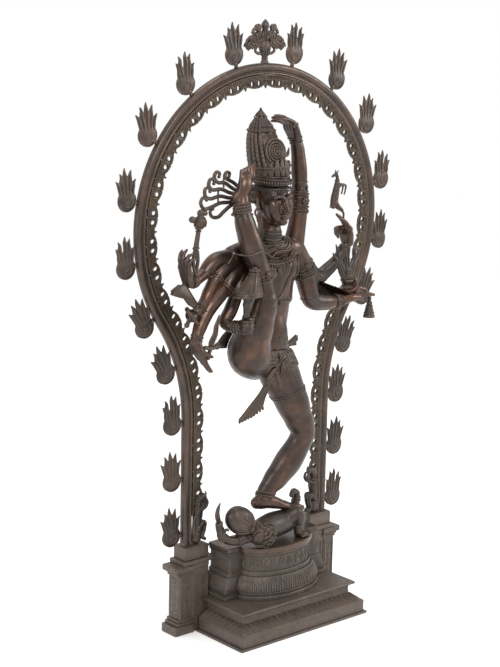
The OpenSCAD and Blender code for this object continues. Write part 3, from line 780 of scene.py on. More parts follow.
PELVIS, WAIST, RIBS, CHEST = vec(-12, -50, 665), vec(-15, -52, 735), vec(-14, -50, 800), vec(-13, -48, 865)
NECK, HEAD = vec(-25, -55, 968), vec(-26, -70, 1045)
SHOULDER_L, SHOULDER_R = vec(62, -48, 928), vec(-88, -46, 928)
FAN_TIPS = [vec(-220, -52, 890), vec(-196, -60, 868), vec(-168, -68, 846), vec(-142, -75, 828)]
CHAINS = {}


def chain(name, points, radii, dense=0.1):
    c, r = spline(points, radii, dense)
    CHAINS.setdefault(name, []).append((c, r))


def turn(d, p, angle):
    a = math.radians(angle)
    return math.cos(a) * d + math.sin(a) * p, math.cos(a) * p - math.sin(a) * d


def hand(name, wrist, along, palm, thumb_side, size, curls, spread=6.0, thumb=(35, -20, -10), width=1.0,
        wrist_r=0.15):
    """Palm, four jointed fingers and a thumb. curls gives each finger's three bends towards the palm."""
    along, palm = unit(along), unit(palm)
    palm = unit(palm - along * np.dot(palm, along))
    across = np.cross(along, palm) * thumb_side
    wrist = np.asarray(wrist, float)
    lengths = (0.92, 1.0, 0.93, 0.76)
    for i in range(4):
        off = (1.5 - i) * 0.105 * size * width
        knuckle = wrist + along * size * (0.44 - 0.02 * abs(i - 1)) + across * off
        chain(name, [wrist + across * off * 0.45, wrist + along * size * 0.22 + across * off * 0.9,
            knuckle],
              [size * wrist_r, size * 0.11, size * 0.075], 0.35)
        d, p = along, palm
        fan = math.radians((1.5 - i) * spread)
        d = unit(d * math.cos(fan) + across * math.sin(fan))
        p = unit(palm - d * np.dot(palm, d))
        pts, rad = [knuckle], [size * 0.074]
        for part, bend, r in zip((0.25, 0.17, 0.13), curls[i], (0.066, 0.056, 0.040)):
            d, p = turn(d, p, bend)
            pts.append(pts[-1] + d * part * size * lengths[i])
            rad.append(size * r)
        for a in range(3):
            chain(name, [pts[a], pts[a + 1]], [rad[a], rad[a + 1]], 0.35)
    d, p = turn(along, across, thumb[0])
    base = wrist + along * size * 0.12 + across * size * 0.11
    q1 = base + d * size * 0.2
    d, _ = turn(d, across, thumb[1])
    q2 = q1 + (d + palm * 0.35) * size * 0.15
    q3 = q2 + (unit(d) + palm * 0.5 - across * 0.3) * size * 0.1
    for a, b, ra, rb in ((base, q1, 0.11, 0.075), (q1, q2, 0.075, 0.062), (q2, q3, 0.062, 0.045)):
        chain(name, [a, b], [size * ra, size * rb], 0.35)


def fist(name, centre, knuckles, across, size, grip):
    """A closed hand: four bent fingers side by side round a grip direction."""
    centre = np.asarray(centre, float)
    out, across, grip = unit(knuckles), unit(across), unit(grip)
    chain(name, [centre - out * size * 0.12, centre + out * size * 0.1], [size * 0.42, size * 0.38], 0.3)
    for i in range(4):
        o = centre + across * (1.5 - i) * size * 0.235
        far = size * (0.96, 1.04, 0.98, 0.82)[i]
        pts = [o - grip * far * 0.34 + out * size * 0.1, o + out * far * 0.36 - grip * far * 0.26,
               o + out * far * 0.44 + grip * far * 0.04, o + out * far * 0.3 + grip * far * 0.32,
                   o + out * size * 0.1 + grip * far * 0.36]
        chain(name, pts, [size * 0.135, size * 0.125, size * 0.12, size * 0.11, size * 0.09], 0.2)
    t = centre + across * size * 0.5
    chain(name, [t - out * size * 0.2, t + out * size * 0.25 + grip * size * 0.05,
        t + out * size * 0.42 + grip * size * 0.3],
          [size * 0.17, size * 0.14, size * 0.1], 0.3)


def build_chains():
    # torso
    chain("torso", [PELVIS + vec(2, 0, -22), PELVIS, WAIST, RIBS, CHEST, CHEST + vec(2, 0, 28)],
          [[54, 42, 34], [62, 45, 44], [49, 36, 34], [57, 39, 38], [76, 43, 40], [74, 36, 26]])
    chain("torso", [SHOULDER_R + vec(6, 0, -2), [-50, -48, 925], [-14, -48, 930], [30, -48, 925],
        SHOULDER_L],
          [27, [32, 30, 30], [36, 31, 32], [32, 30, 30], 27])
    chain("torso", [NECK - vec(-4, -6, 34), NECK - vec(0, 0, 16), NECK + vec(0, -4, 10)],
        [[38, 30, 22], [31, 29, 22], [28, 28, 20]])
    for x in (-48, 20):
        chain("torso", [(x - 4, -72, 884), (x + 4, -72, 884)], [[35, 23, 32], [35, 23, 32]])
        chain("torso", [(x, -60, 850), (x, -58, 810)], [[30, 22, 26], [24, 26, 24]])
    chain("torso", [(-15, -76, 762), (-14, -80, 730), (-13, -80, 700)],
        [[24, 14, 30], [33, 17, 28], [36, 16, 22]])
    # standing leg and foot
    chain("standing_leg", [(4, -56, 655), (12, -60, 628), (40, -76, 560), (58, -86, 510), (69, -92, 478),
        (64, -88, 448), (36, -78, 400), (10, -70, 366), (-14, -63, 338), (-28, -60, 315)],
          [[50, 44, 46], [54, 47, 46], 43, 36, 31, 30, 34, 30, 23, 19])
    chain("standing_leg", [(74, -108, 480), (72, -110, 470)], [[16, 12, 18], [14, 10, 14]])
    chain("standing_leg", [(-44, -54, 302), (-30, -58, 304), (-6, -62, 300), (24, -68, 289),
        (44, -71, 282)],
          [15, 19, [19, 19, 17], [17, 22, 12], [12, 23, 9]])
    for i in range(5):
        y = -91 + 9.4 * i + (0 if i else -2)
        reach = (32, 29, 25, 20, 14)[i]
        r = (8.0, 6.4, 6.0, 5.6, 5.2)[i]
        chain("standing_leg", [(40, y, 282), (40 + reach * 0.55, y, 282), (40 + reach, y, 277)],
            [r, r * 1.02, r * 0.95])
    # raised leg
    chain("raised_leg", [(-66, -62, 668), (-92, -72, 690), (-94, -90, 738), (-84, -106, 790),
        (-80, -112, 822)],
          [[52, 46, 50], [55, 52, 56], [45, 42, 46], [33, 32, 34], 28])
    chain("raised_leg", [(-80, -113, 826), (-88, -112, 860), (-100, -106, 905), (-116, -100, 950),
        (-130, -95, 996), (-138, -90, 1034), (-136, -88, 1062)],
          [27, 24, 25, 28, 25, 19, 15])
    chain("raised_leg", [(-80, -134, 826), (-81, -134, 818)], [[15, 8, 14], [14, 8, 12]])
    chain("raised_leg", [(-148, -80, 1066), (-138, -86, 1076), (-130, -88, 1092), (-123, -84, 1112)],
          [11, [15, 16, 16], [19, 15, 18], [20, 11, 14]])
    for i in range(5):
        x = -139 + 8.6 * i
        chain("raised_leg", [(x, -86, 1112), (x + 1, -84, 1120 + 3 * (i > 2)),
            (x + 2, -83, 1127 + 2.2 * i)], [5.2 + 0.4 * i, 4.8 + 0.4 * i, 4.2 + 0.4 * i])
    # raised left arm
    chain("arm_raised", [SHOULDER_L, (72, -50, 985), (76, -50, 1040), (76, -50, 1078), (74, -50, 1110),
        (68, -50, 1158), (58, -50, 1192)],
          [26, 22, 21.5, 18.5, 19.5, 17, 12.5])
    hand("arm_raised", (57, -50, 1193), (-0.5, 0, 0.87), (-0.87, 0, -0.5), 1, 96,
         [(38, 14, 8), (34, 12, 6), (36, 14, 8), (42, 16, 10)], 5, (25, 30, 10), wrist_r=0.13)
    # bell arm
    chain("arm_bell", [(66, -46, 924), (84, -48, 892), (100, -53, 850), (110, -60, 806), (122, -62, 790),
        (160, -62, 783), (190, -61, 780), (212, -60, 779)],
          [27, 27, 26, 24, 23, 21, 17, 14])
    hand("arm_bell", (212, -60, 779), (1, 0, 0.14), (0, -0.25, -1), -1, 104,
         [(4, 10, 6), (-38, 62, 46), (-30, 74, 52), (-14, 60, 50)], 7, (18, -10, 5), wrist_r=0.125)
    # deer arm
    chain("arm_deer", [(70, -38, 918), (94, -36, 896), (120, -36, 868), (142, -35, 848), (156, -34, 838),
        (186, -38, 856), (217, -45, 884), (244, -45, 918)],
          [25, 25, 23, 21, 20, 17, 14, 11.5])
    hand("arm_deer", (248, -45, 922), (-0.25, 0, 0.97), (-0.97, 0, -0.25), 1, 92,
         [(28, 14, 6), (24, 12, 6), (75, 80, 40), (80, 80, 45)], 4, (20, 20, 10), wrist_r=0.125)
    # fire arm
    chain("arm_fire", [(134, -38, 808), (165, -38, 803), (195, -39, 801), (222, -46, 799)],
        [16, 15, 13, 11])
    hand("arm_fire", (224, -47, 799), (0.95, -0.3, 0.1), (0, 0, 1), 1, 70,
         [(40, 45, 30), (38, 45, 30), (38, 45, 30), (42, 45, 30)], 6, (30, 0, 0), wrist_r=0.15)
    # right shoulder and the fused fan of the upper arms
    chain("shoulder_fan", [SHOULDER_R, (-104, -46, 926), (-128, -48, 922)],
        [27, [27, 26, 27], [25, 24, 26]])
    for i, t in enumerate(FAN_TIPS):
        share = i / 3
        root = vec(-112 + 18 * share, -46 - 4 * share, 914 - 18 * share)
        mid = root * 0.45 + t * 0.55 + vec(-7 + 8 * share, 0, 15 - 12 * share)
        chain("shoulder_fan", [root, mid, t], [[24, 24, 25], 21, 15.5])
    for i in range(3):
        a, b = FAN_TIPS[i], FAN_TIPS[i + 1]
        m = (a + b) / 2
        root = vec(-112 + 18 * (i + 0.5) / 3, -46, 912 - 18 * (i + 0.5) / 3)
        chain("shoulder_fan", [root, (root + m) / 2 + vec(-3, 0, 6), m + (root - m) * 0.1],
            [[20, 17, 20], 15, 10])
    chain("arm_club", [FAN_TIPS[0], (-244, -62, 882), (-262, -69, 877), (-278, -75, 878)],
        [15, 13.5, 11.5, 10])
    hand("arm_club", (-284, -77, 878), (-0.28, 0, 0.96), (0.96, 0, 0.2), 1, 84,
         [(4, 22, 24), (6, 30, 30), (10, 40, 40), (12, 46, 40)], 4, (30, 10, 0), wrist_r=0.13)
    chain("arm_axe", [FAN_TIPS[1], (-214, -65, 848), (-232, -70, 826), (-256, -76, 810)],
        [16, 15.5, 14, 13])
    fist("arm_axe", (-276, -81, 802), (-0.35, -0.9, -0.25), (-0.62, 0.05, 0.78), 36, (0.7, -0.1, -0.7))
    chain("arm_dagger", [FAN_TIPS[2] + vec(-6, 0, 2), (-186, -70, 838), (-210, -72, 820), (-228, -73, 800),
        (-246, -76, 776), (-258, -80, 756), (-265, -83, 740)],
          [17, 18, 18.5, 17.5, 17, 14.5, 12])
    hand("arm_dagger", (-266, -83, 738), (0.36, -0.05, -0.93), (0.93, 0, 0.36), 1, 82,
         [(-4, 12, 10), (2, 10, 8), (10, 14, 10), (20, 24, 20)], 8, (40, 20, 20), wrist_r=0.13)
    chain("arm_drum", [FAN_TIPS[3], (-158, -77, 800), (-176, -80, 776), (-172, -100, 768),
        (-160, -118, 769)], [16.5, 17, 15.5, 14, 13])
    fist("arm_drum", (-153, -128, 771), (-0.2, -0.97, 0), (0, 0, 1), 38, (0.97, -0.2, 0))


def split(skin, owners):
    """Cuts one fused skin into a closed piece per chain name, with the whole skin's normals kept."""
    verts, faces = skin
    me = to_mesh(verts, faces, "whole")
    normals = np.empty(len(me.vertices) * 3)
    me.vertex_normals.foreach_get("vector", normals)
    normals = normals.reshape(-1, 3)
    bpy.data.meshes.remove(me)
    from_face = {}
    for face, owner in zip(faces, owners):
        from_face.setdefault(owner, []).append(face)
    return {o: (verts, f, normals) for o, f in from_face.items()}


def body_piece(name, body, material, part, replaces):
    verts, faces, normals = part
    used = sorted({i for f in faces for i in f})
    new = {old: k for k, old in enumerate(used)}
    me = to_mesh(verts[used], [[new[i] for i in f] for f in faces], name)
    count = len(used)
    keep = normals[used]
    bm = bmesh.new()
    bm.from_mesh(me)
    rim = [e for e in bm.edges if e.is_boundary]
    for loop in boundary_loops(rim):
        if len(loop) < 3:
            continue
        centre = bm.verts.new(sum((v.co for v in loop), Vector()) / len(loop))
        for a, b in zip(loop, loop[1:] + loop[:1]):
            try:
                bm.faces.new((b, a, centre))
            except ValueError:
                pass
    bm.to_mesh(me)
    extra = len(bm.verts) - count
    bm.free()
    me.polygons.foreach_set("use_smooth", [True] * len(me.polygons))
    all_normals = np.vstack([keep, np.tile([[0, 0, 1.0]], (extra, 1))]) if extra else keep
    me.normals_split_custom_set_from_vertices([tuple(n) for n in all_normals])
    ob = link(me, name)
    me.materials.append(material)
    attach(ob, body)
    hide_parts(*replaces)
    return ob


def boundary_loops(edges):
    """Walks boundary edges into loops of vertices, following the direction of their faces."""
    nxt = {}
    for e in edges:
        lp = e.link_loops[0]
        nxt.setdefault(lp.vert, []).append(lp.link_loop_next.vert)
    loops = []
    while nxt:
        start = next(iter(nxt))
        loop, v = [], start
        while v in nxt:
            loop.append(v)
            w = nxt[v].pop()
            if not nxt[v]:
                del nxt[v]
            v = w
            if v is start:
                break
        loops.append(loop)
    return loops


def make_body():
    build_chains()
    s = Soup()
    centres, owner = [], []
    for name, parts in CHAINS.items():
        for c, r in parts:
            s.balls(c, r, 3 if np.max(r) > 22 else 2)
            centres.append(c)
            owner += [name] * len(c)
    skin = fused(s, 1.35, 10, 0.6)
    verts, faces = skin
    from mathutils.kdtree import KDTree
    centres = np.vstack(centres)
    tree = KDTree(len(centres))
    for i, c in enumerate(centres):
        tree.insert(Vector(c), i)
    tree.balance()
    owners = [owner[tree.find(Vector(verts[f[0]]))[1]] for f in faces]
    parts = split(skin, owners)
    for name, part in parts.items():
        body_piece(f"{name}_cast", "statue", BODY, part, [name])
    return skin


def make_head():
    s = Soup()
    c = HEAD
    s.limb([c + vec(0, 6, 12), c + vec(0, 4, 0)], [[41, 46, 48], [40, 44, 46]])
    s.limb([c + vec(0, -6, -12), c + vec(0, -12, -38)], [[37, 40, 30], [24, 27, 20]])
    s.limb([c + vec(0, 14, -30), NECK + vec(0, -2, 14), NECK - vec(0, -2, 6)],
        [[29, 30, 26], [28.5, 29, 18], [29, 29, 16]])
    for x in (-1, 1):
        s.limb([c + vec(20 * x, -22, -4), c + vec(17 * x, -25, -20), c + vec(11 * x, -27, -32)],
            [[19, 19, 20], [18, 17, 17], [15, 14, 12]], 0.12)
        s.limb([c + vec(26 * x, -34.5, 15), c + vec(15 * x, -41.5, 18.5), c + vec(4 * x, -43.5, 13)],
            [5.2, 5.4, 5.2], 0.2)
        s.ball(c + vec(16.5 * x, -35.6, 4), (11, 7.6, 7.4), 3)
        s.ball(c + vec(5.4 * x, -47.5, -15), (4.2, 5.0, 3.8), 3)
        s.limb([c + vec(2.8 * x, -49.2, -25.2), c + vec(8 * x, -46.4, -26), c + vec(12 * x, -42.6, -27.4)],
            [2.8, 2.3, 1.4], 0.3)
        s.limb([c + vec(0, -48.6, -31), c + vec(6 * x, -46.6, -30.4), c + vec(10.4 * x, -43, -28.8)],
            [3.3, 2.8, 1.4], 0.3)
    s.limb([c + vec(0, -43, 12), c + vec(0, -47.5, 1), c + vec(0, -52.5, -9), c + vec(0, -54, -13)],
        [4.4, 4.1, 4.8, 5.2], 0.3)
    s.ball(c + vec(0, -37, -43), (12, 9.5, 9), 3)
    s.limb([c + vec(0, -45, -22), c + vec(0, -44, -36)], [[5, 4, 4], [9, 4.6, 4]], 0.3)
    skin = fused(s, 1.0, 9, 0.55)
    look = Skin(skin)
    d = Soup()
    for x in (-1, 1):
        # lids, brow line and a lowered gaze
        upper = [c + vec((16.5 + a) * x, -60, 4.6 + 3.8 * math.cos(a / 11.5 * math.pi / 2))
            for a in np.linspace(-11, 11, 11)]
        lower = [c + vec((16.5 + a) * x, -60, 4.4 - 2.6 * math.cos(a / 11.5 * math.pi / 2))
            for a in np.linspace(-10.5, 10.5, 11)]
        brow = [c + vec((17 + a) * x, -60, 15.5 + 4.4 * math.cos((a + 2) / 16 * math.pi / 2))
            for a in np.linspace(-13, 13, 13)]
        for path, r, lift in ((upper, 1.25, 0.1), (lower, 0.85, 0.0), (brow, 0.95, 0.1)):
            pts = []
            for p in path:
                q, n = look.ray(p + vec(0, -20, 0), vec(0, 1, 0), 120)
                if q is not None:
                    pts.append(q + n * lift)
            rad = [r * (0.45 + 0.55 * math.sin(math.pi * (k + 0.5) / len(pts))) for k in range(len(pts))]
            d.tube(pts, rad, sides=8)
        # ear, with a ring and a hanging drop
        e = c + vec(40 * x, 6, 2)
        d.limb([e + vec(0, -2, -14), e + vec(2 * x, 2, -2), e + vec(3 * x, 6, 12), e + vec(0, 12, 8),
            e + vec(-1 * x, 10, -8)], [3.6, 3.2, 3.2, 3, 2.6], 0.4)
        d.ball(e + vec(0, 5, 0), (2.6, 8, 13))
        ring = [e + vec(1.5 * x + 3.5 * x * math.cos(a) * 0.3, 0 + 8.5 * math.cos(a),
            -25 + 9.5 * math.sin(a)) for a in around(20)]
        d.tube(ring, 2.5, sides=8, closed=True)
        d.ball(e + vec(1.5 * x, 0, -37), (4.6, 5, 4.6))
        d.ball(e + vec(1.5 * x, 0, -44), (3, 3, 3.4))
        d.limb([e + vec(-4 * x, 2, -10), e + vec(0, 1, -18)], [3, 2.4])
    # mark on the brow
    q, n = look.ray(c + vec(0, -90, 22), vec(0, 1, 0), 120)
    if q is not None:
        d.ball(q, (1.5, 1, 3.2))
    piece("head_cast", "statue", BODY, d, skin, ["head"])
    return look


def make_crown(look):
    s, d = Soup(), Soup()
    foot = vec(-28, -64, 1100)
    axis_pts = [foot + vec(0, 0, -8), (-32, -62, 1112), (-38, -57, 1140), (-43, -50, 1180),
        (-44, -44, 1208), (-43, -40, 1232)]
    s.limb(axis_pts, [[43, 46, 16], [42, 44, 16], [40, 41, 20], [37, 37, 22], [30, 30, 18], [17, 17, 14]],
        0.15)
    skin = fused(s, 1.6, 4)
    body = Skin(skin)
    # diadem: stacked beaded bands round the brow
    for z, r in ((1083, 2.6), (1090, 1.6), (1103, 2.8), (1110, 1.7)):
        loop = []
        for k in range(60):
            a = 2 * math.pi * k / 60
            p = vec(-27 + 43.5 * math.cos(a), -66 + 48 * math.sin(a), z + 3 * math.sin(a))
            q, _ = (look if z < 1088 else body).near(p)
            loop.append(p * 0.45 + q * 0.55)
        d.tube(loop, r, sides=8, closed=True)
    for k in range(46):
        a = 2 * math.pi * k / 46
        p = vec(-27 + 45.5 * math.cos(a), -66 + 49.5 * math.sin(a), 1096.5 + 3 * math.sin(a))
        d.ball(p, (3.3, 3.3, 4.4))
        p = vec(-27 + 45.5 * math.cos(a + 0.07), -66 + 49 * math.sin(a + 0.07), 1078 + 3 * math.sin(a))
        d.ball(p, (2.3, 2.3, 2.8), 1)
    # ring of pointed leaves above the diadem, tallest at the front
    for k in range(18):
        a = 2 * math.pi * k / 18 - math.pi / 2
        front = 0.5 - 0.5 * math.sin(a)
        h = 20 + 20 * front ** 2
        base = vec(-30 + 43 * math.cos(a), -62 + 45 * math.sin(a), 1110)
        inward = vec(-math.cos(a), -math.sin(a), 0)
        tip = base + inward * 5 + vec(0, 0, h)
        d.tube([base, base * 0.6 + tip * 0.4, base * 0.25 + tip * 0.75, tip], [6.0, 7.6, 5.2, 1.2], sides=8,
            up=inward, flat=0.45, step=4)
        d.ball(base * 0.55 + tip * 0.45 - inward * 2.6, (2.8, 2.8, 3.6))
        d.ball(base + vec(0, 0, 3) - inward * 1.5, (3.2, 3.2, 3.2))
        side = np.cross(inward, vec(0, 0, 1))
        for e in (-1, 1):
            curl = [base + vec(0, 0, 4) + e * side * 4, base + e * side * 7 + vec(0, 0, h * 0.45),
                base + e * side * 4.5 + vec(0, 0, h * 0.62) + inward * 2]
            d.tube(curl, [1.6, 1.5, 1.0], sides=6, step=3)
    # piled hair: upright locks, each bound by cross lines
    for k in range(20):
        a = 2 * math.pi * k / 20 + 0.1
        dirv = vec(math.cos(a), math.sin(a), 0)
        if math.sin(a) < -0.72:
            continue
        path = []
        for p, rx in ((vec(-34, -60, 1124), 44), (vec(-39, -56, 1146), 42), (vec(-42, -51, 1172), 39.5),
                (vec(-44, -46, 1198), 34), (vec(-43.5, -42, 1222), 25), (vec(-43, -39, 1238), 13)):
            q, n = body.ray(p, dirv, 80)
            path.append((q if q is not None else p + dirv * rx) + dirv * 0.6)
        pts, rad = curve(path, [5.2, 5.4, 5.0, 4.4, 3.2, 1.8], 3.0)
        rad = [r * (1 + 0.13 * math.sin(1.9 * i + k)) for i, r in enumerate(rad)]
        d.tube(pts, rad, sides=8)
    for z, c0, r in ((1128, vec(-36, -59, 1128), 3.0), (1213, vec(-44, -43, 1213), 2.6),
            (1224, vec(-43.6, -42, 1224), 1.8)):
        loop = body.band(c0, (0, 0, 1), 48)
        loop = loop + np.array([unit(p - c0) * (4.0 if z < 1200 else 3.6) for p in loop])
        d.tube(loop, r, sides=8, closed=True)
        if z != 1224:
            d.balls(loop[::2] + np.array([unit(p - c0) * 2.2 for p in loop[::2]]), 2.4, 1)
    # coiled disc of hair on the front
    disc = vec(-36, -94, 1166)
    face = unit(vec(-0.12, -1, 0.22))
    q, _ = body.ray(vec(-41, -54, 1166), vec(0.05, -1, 0), 80)
    disc = q if q is not None else disc
    u = unit(np.cross(vec(0, 0, 1), face))
    w = np.cross(face, u)
    for ring_r, tube_r, lift in ((26, 3.4, 0.0), (19.5, 3.0, 2.0), (13.5, 2.8, 3.6), (8, 2.4, 4.8)):
        loop = [disc + face * lift + ring_r * (math.cos(a) * u + 1.12 * math.sin(a) * w)
            for a in around(44)]
        d.tube(loop, tube_r, sides=8, closed=True)
        if ring_r in (26, 13.5):
            d.balls([p + face * tube_r * 0.7 for p in loop[::2]], 1.9, 1)
    d.ball(disc + face * 5, (5, 4, 5), 3)
    d.lathe([(0.5, -8), (20, -7), (25, -3), (18, 1), (9, 4), (0.5, 5)], disc, face, 36)
    # bud on the top
    top = vec(-43, -38.5, 1238)
    d.lathe([(3, -6), (14, -3), (16, 0), (13, 3), (9, 5), (12, 8), (12.5, 11), (9, 15), (5, 19), (3.2, 22),
        (2.2, 25), (0.6, 27)], top, (0.05, 0.03, 1), 24)
    for k in range(9):
        a = 2 * math.pi * k / 9
        dirv = vec(math.cos(a), math.sin(a), 0)
        d.tube([top + dirv * 13 + vec(0, 0, -2), top + dirv * 15 + vec(0, 0, 5),
            top + dirv * 11 + vec(0, 0, 11)], [3.6, 3.4, 1.2], sides=6, up=dirv, flat=0.5)
    # crescent and flower at the side
    pts = [(-6, -72, 1166), (8, -70, 1154), (20, -67, 1156), (25, -65, 1170)]
    d.tube(pts, [4, 5.5, 4.6, 1.2], sides=8, step=4)
    flower = vec(24, -60, 1128)
    for k in range(7):
        a = 2 * math.pi * k / 7
        d.ball(flower + vec(4, 7 * math.cos(a) * 0.6 - 2, 8 * math.sin(a)) + vec(5 * math.cos(a), 0, 0),
            (4.2, 4, 4.6))
    d.ball(flower + vec(6, -4, 0), 4)
    d.tube([(-2, -64, 1122), (12, -62, 1124), (22, -60, 1128)], [4, 3.4, 3], sides=8)
    for k in range(5):
        d.tube([flower + vec(2, 0, -6), flower + vec(8 + 2 * k, -1, -14 - 2 * k),
            flower + vec(6 + 3 * k, -1, -22)], [2.4, 2, 1.0], sides=6, step=3)
    piece("crown_cast", "statue", ORNAMENT, d, skin, ["crown"])


def make_hair():
    s = Soup()
    s.limb([(-62, -50, 1062), (-92, -52, 1062), (-118, -54, 1064)], [[15, 13, 22], [10, 9, 16], [7, 7, 13]],
        0.3)
    # rosette where the strands leave
    hub = vec(-122, -62, 1072)
    for k in range(8):
        a = 2 * math.pi * k / 8
        s.ball(hub + vec(9.5 * math.cos(a), -1, 9.5 * math.sin(a)), (4.6, 4, 4.6))
    s.ball(hub + vec(0, -3, 0), (5, 4, 5))
    strands = [
        [(-118, -56, 1082), (-138, -58, 1096), (-154, -58, 1104), (-166, -58, 1112), (-160, -58, 1122),
            (-151, -58, 1119), (-153, -58, 1112)],
        [(-120, -56, 1074), (-146, -58, 1086), (-166, -58, 1098), (-186, -58, 1100), (-197, -58, 1112),
            (-191, -58, 1124), (-181, -58, 1121), (-183, -58, 1113)],
        [(-120, -56, 1068), (-150, -58, 1074), (-176, -58, 1084), (-200, -58, 1084), (-213, -58, 1094),
            (-209, -58, 1108), (-198, -58, 1107), (-198, -58, 1098)],
        [(-120, -56, 1062), (-150, -58, 1062), (-180, -58, 1068), (-206, -58, 1064), (-222, -58, 1070),
            (-224, -58, 1086), (-213, -58, 1090), (-209, -58, 1081)],
        [(-120, -56, 1056), (-150, -58, 1052), (-178, -58, 1052), (-206, -58, 1044), (-226, -58, 1042),
            (-236, -58, 1056), (-229, -58, 1068), (-219, -58, 1062)],
        [(-120, -56, 1050), (-146, -58, 1044), (-166, -58, 1032), (-184, -58, 1020), (-202, -58, 1022),
            (-208, -58, 1034), (-200, -58, 1040)],
    ]
    for path in strands:
        n = len(path)
        s.tube(path, [4.6] * (n - 3) + [4.2, 3.8, 3.2], sides=10, step=3)
        s.ball(vec(*path[-1]), 4.4)
    for x, z in ((-168, 1100), (-184, 1068)):
        s.tube([(x, -58, z + 12), (x - 3, -60, z), (x, -58, z - 12)], 2.4, sides=8, step=4)
    piece("hair_strands", "statue", ORNAMENT, s, replaces=["hair_locks"])


# ---------- dwarf under the foot ----------

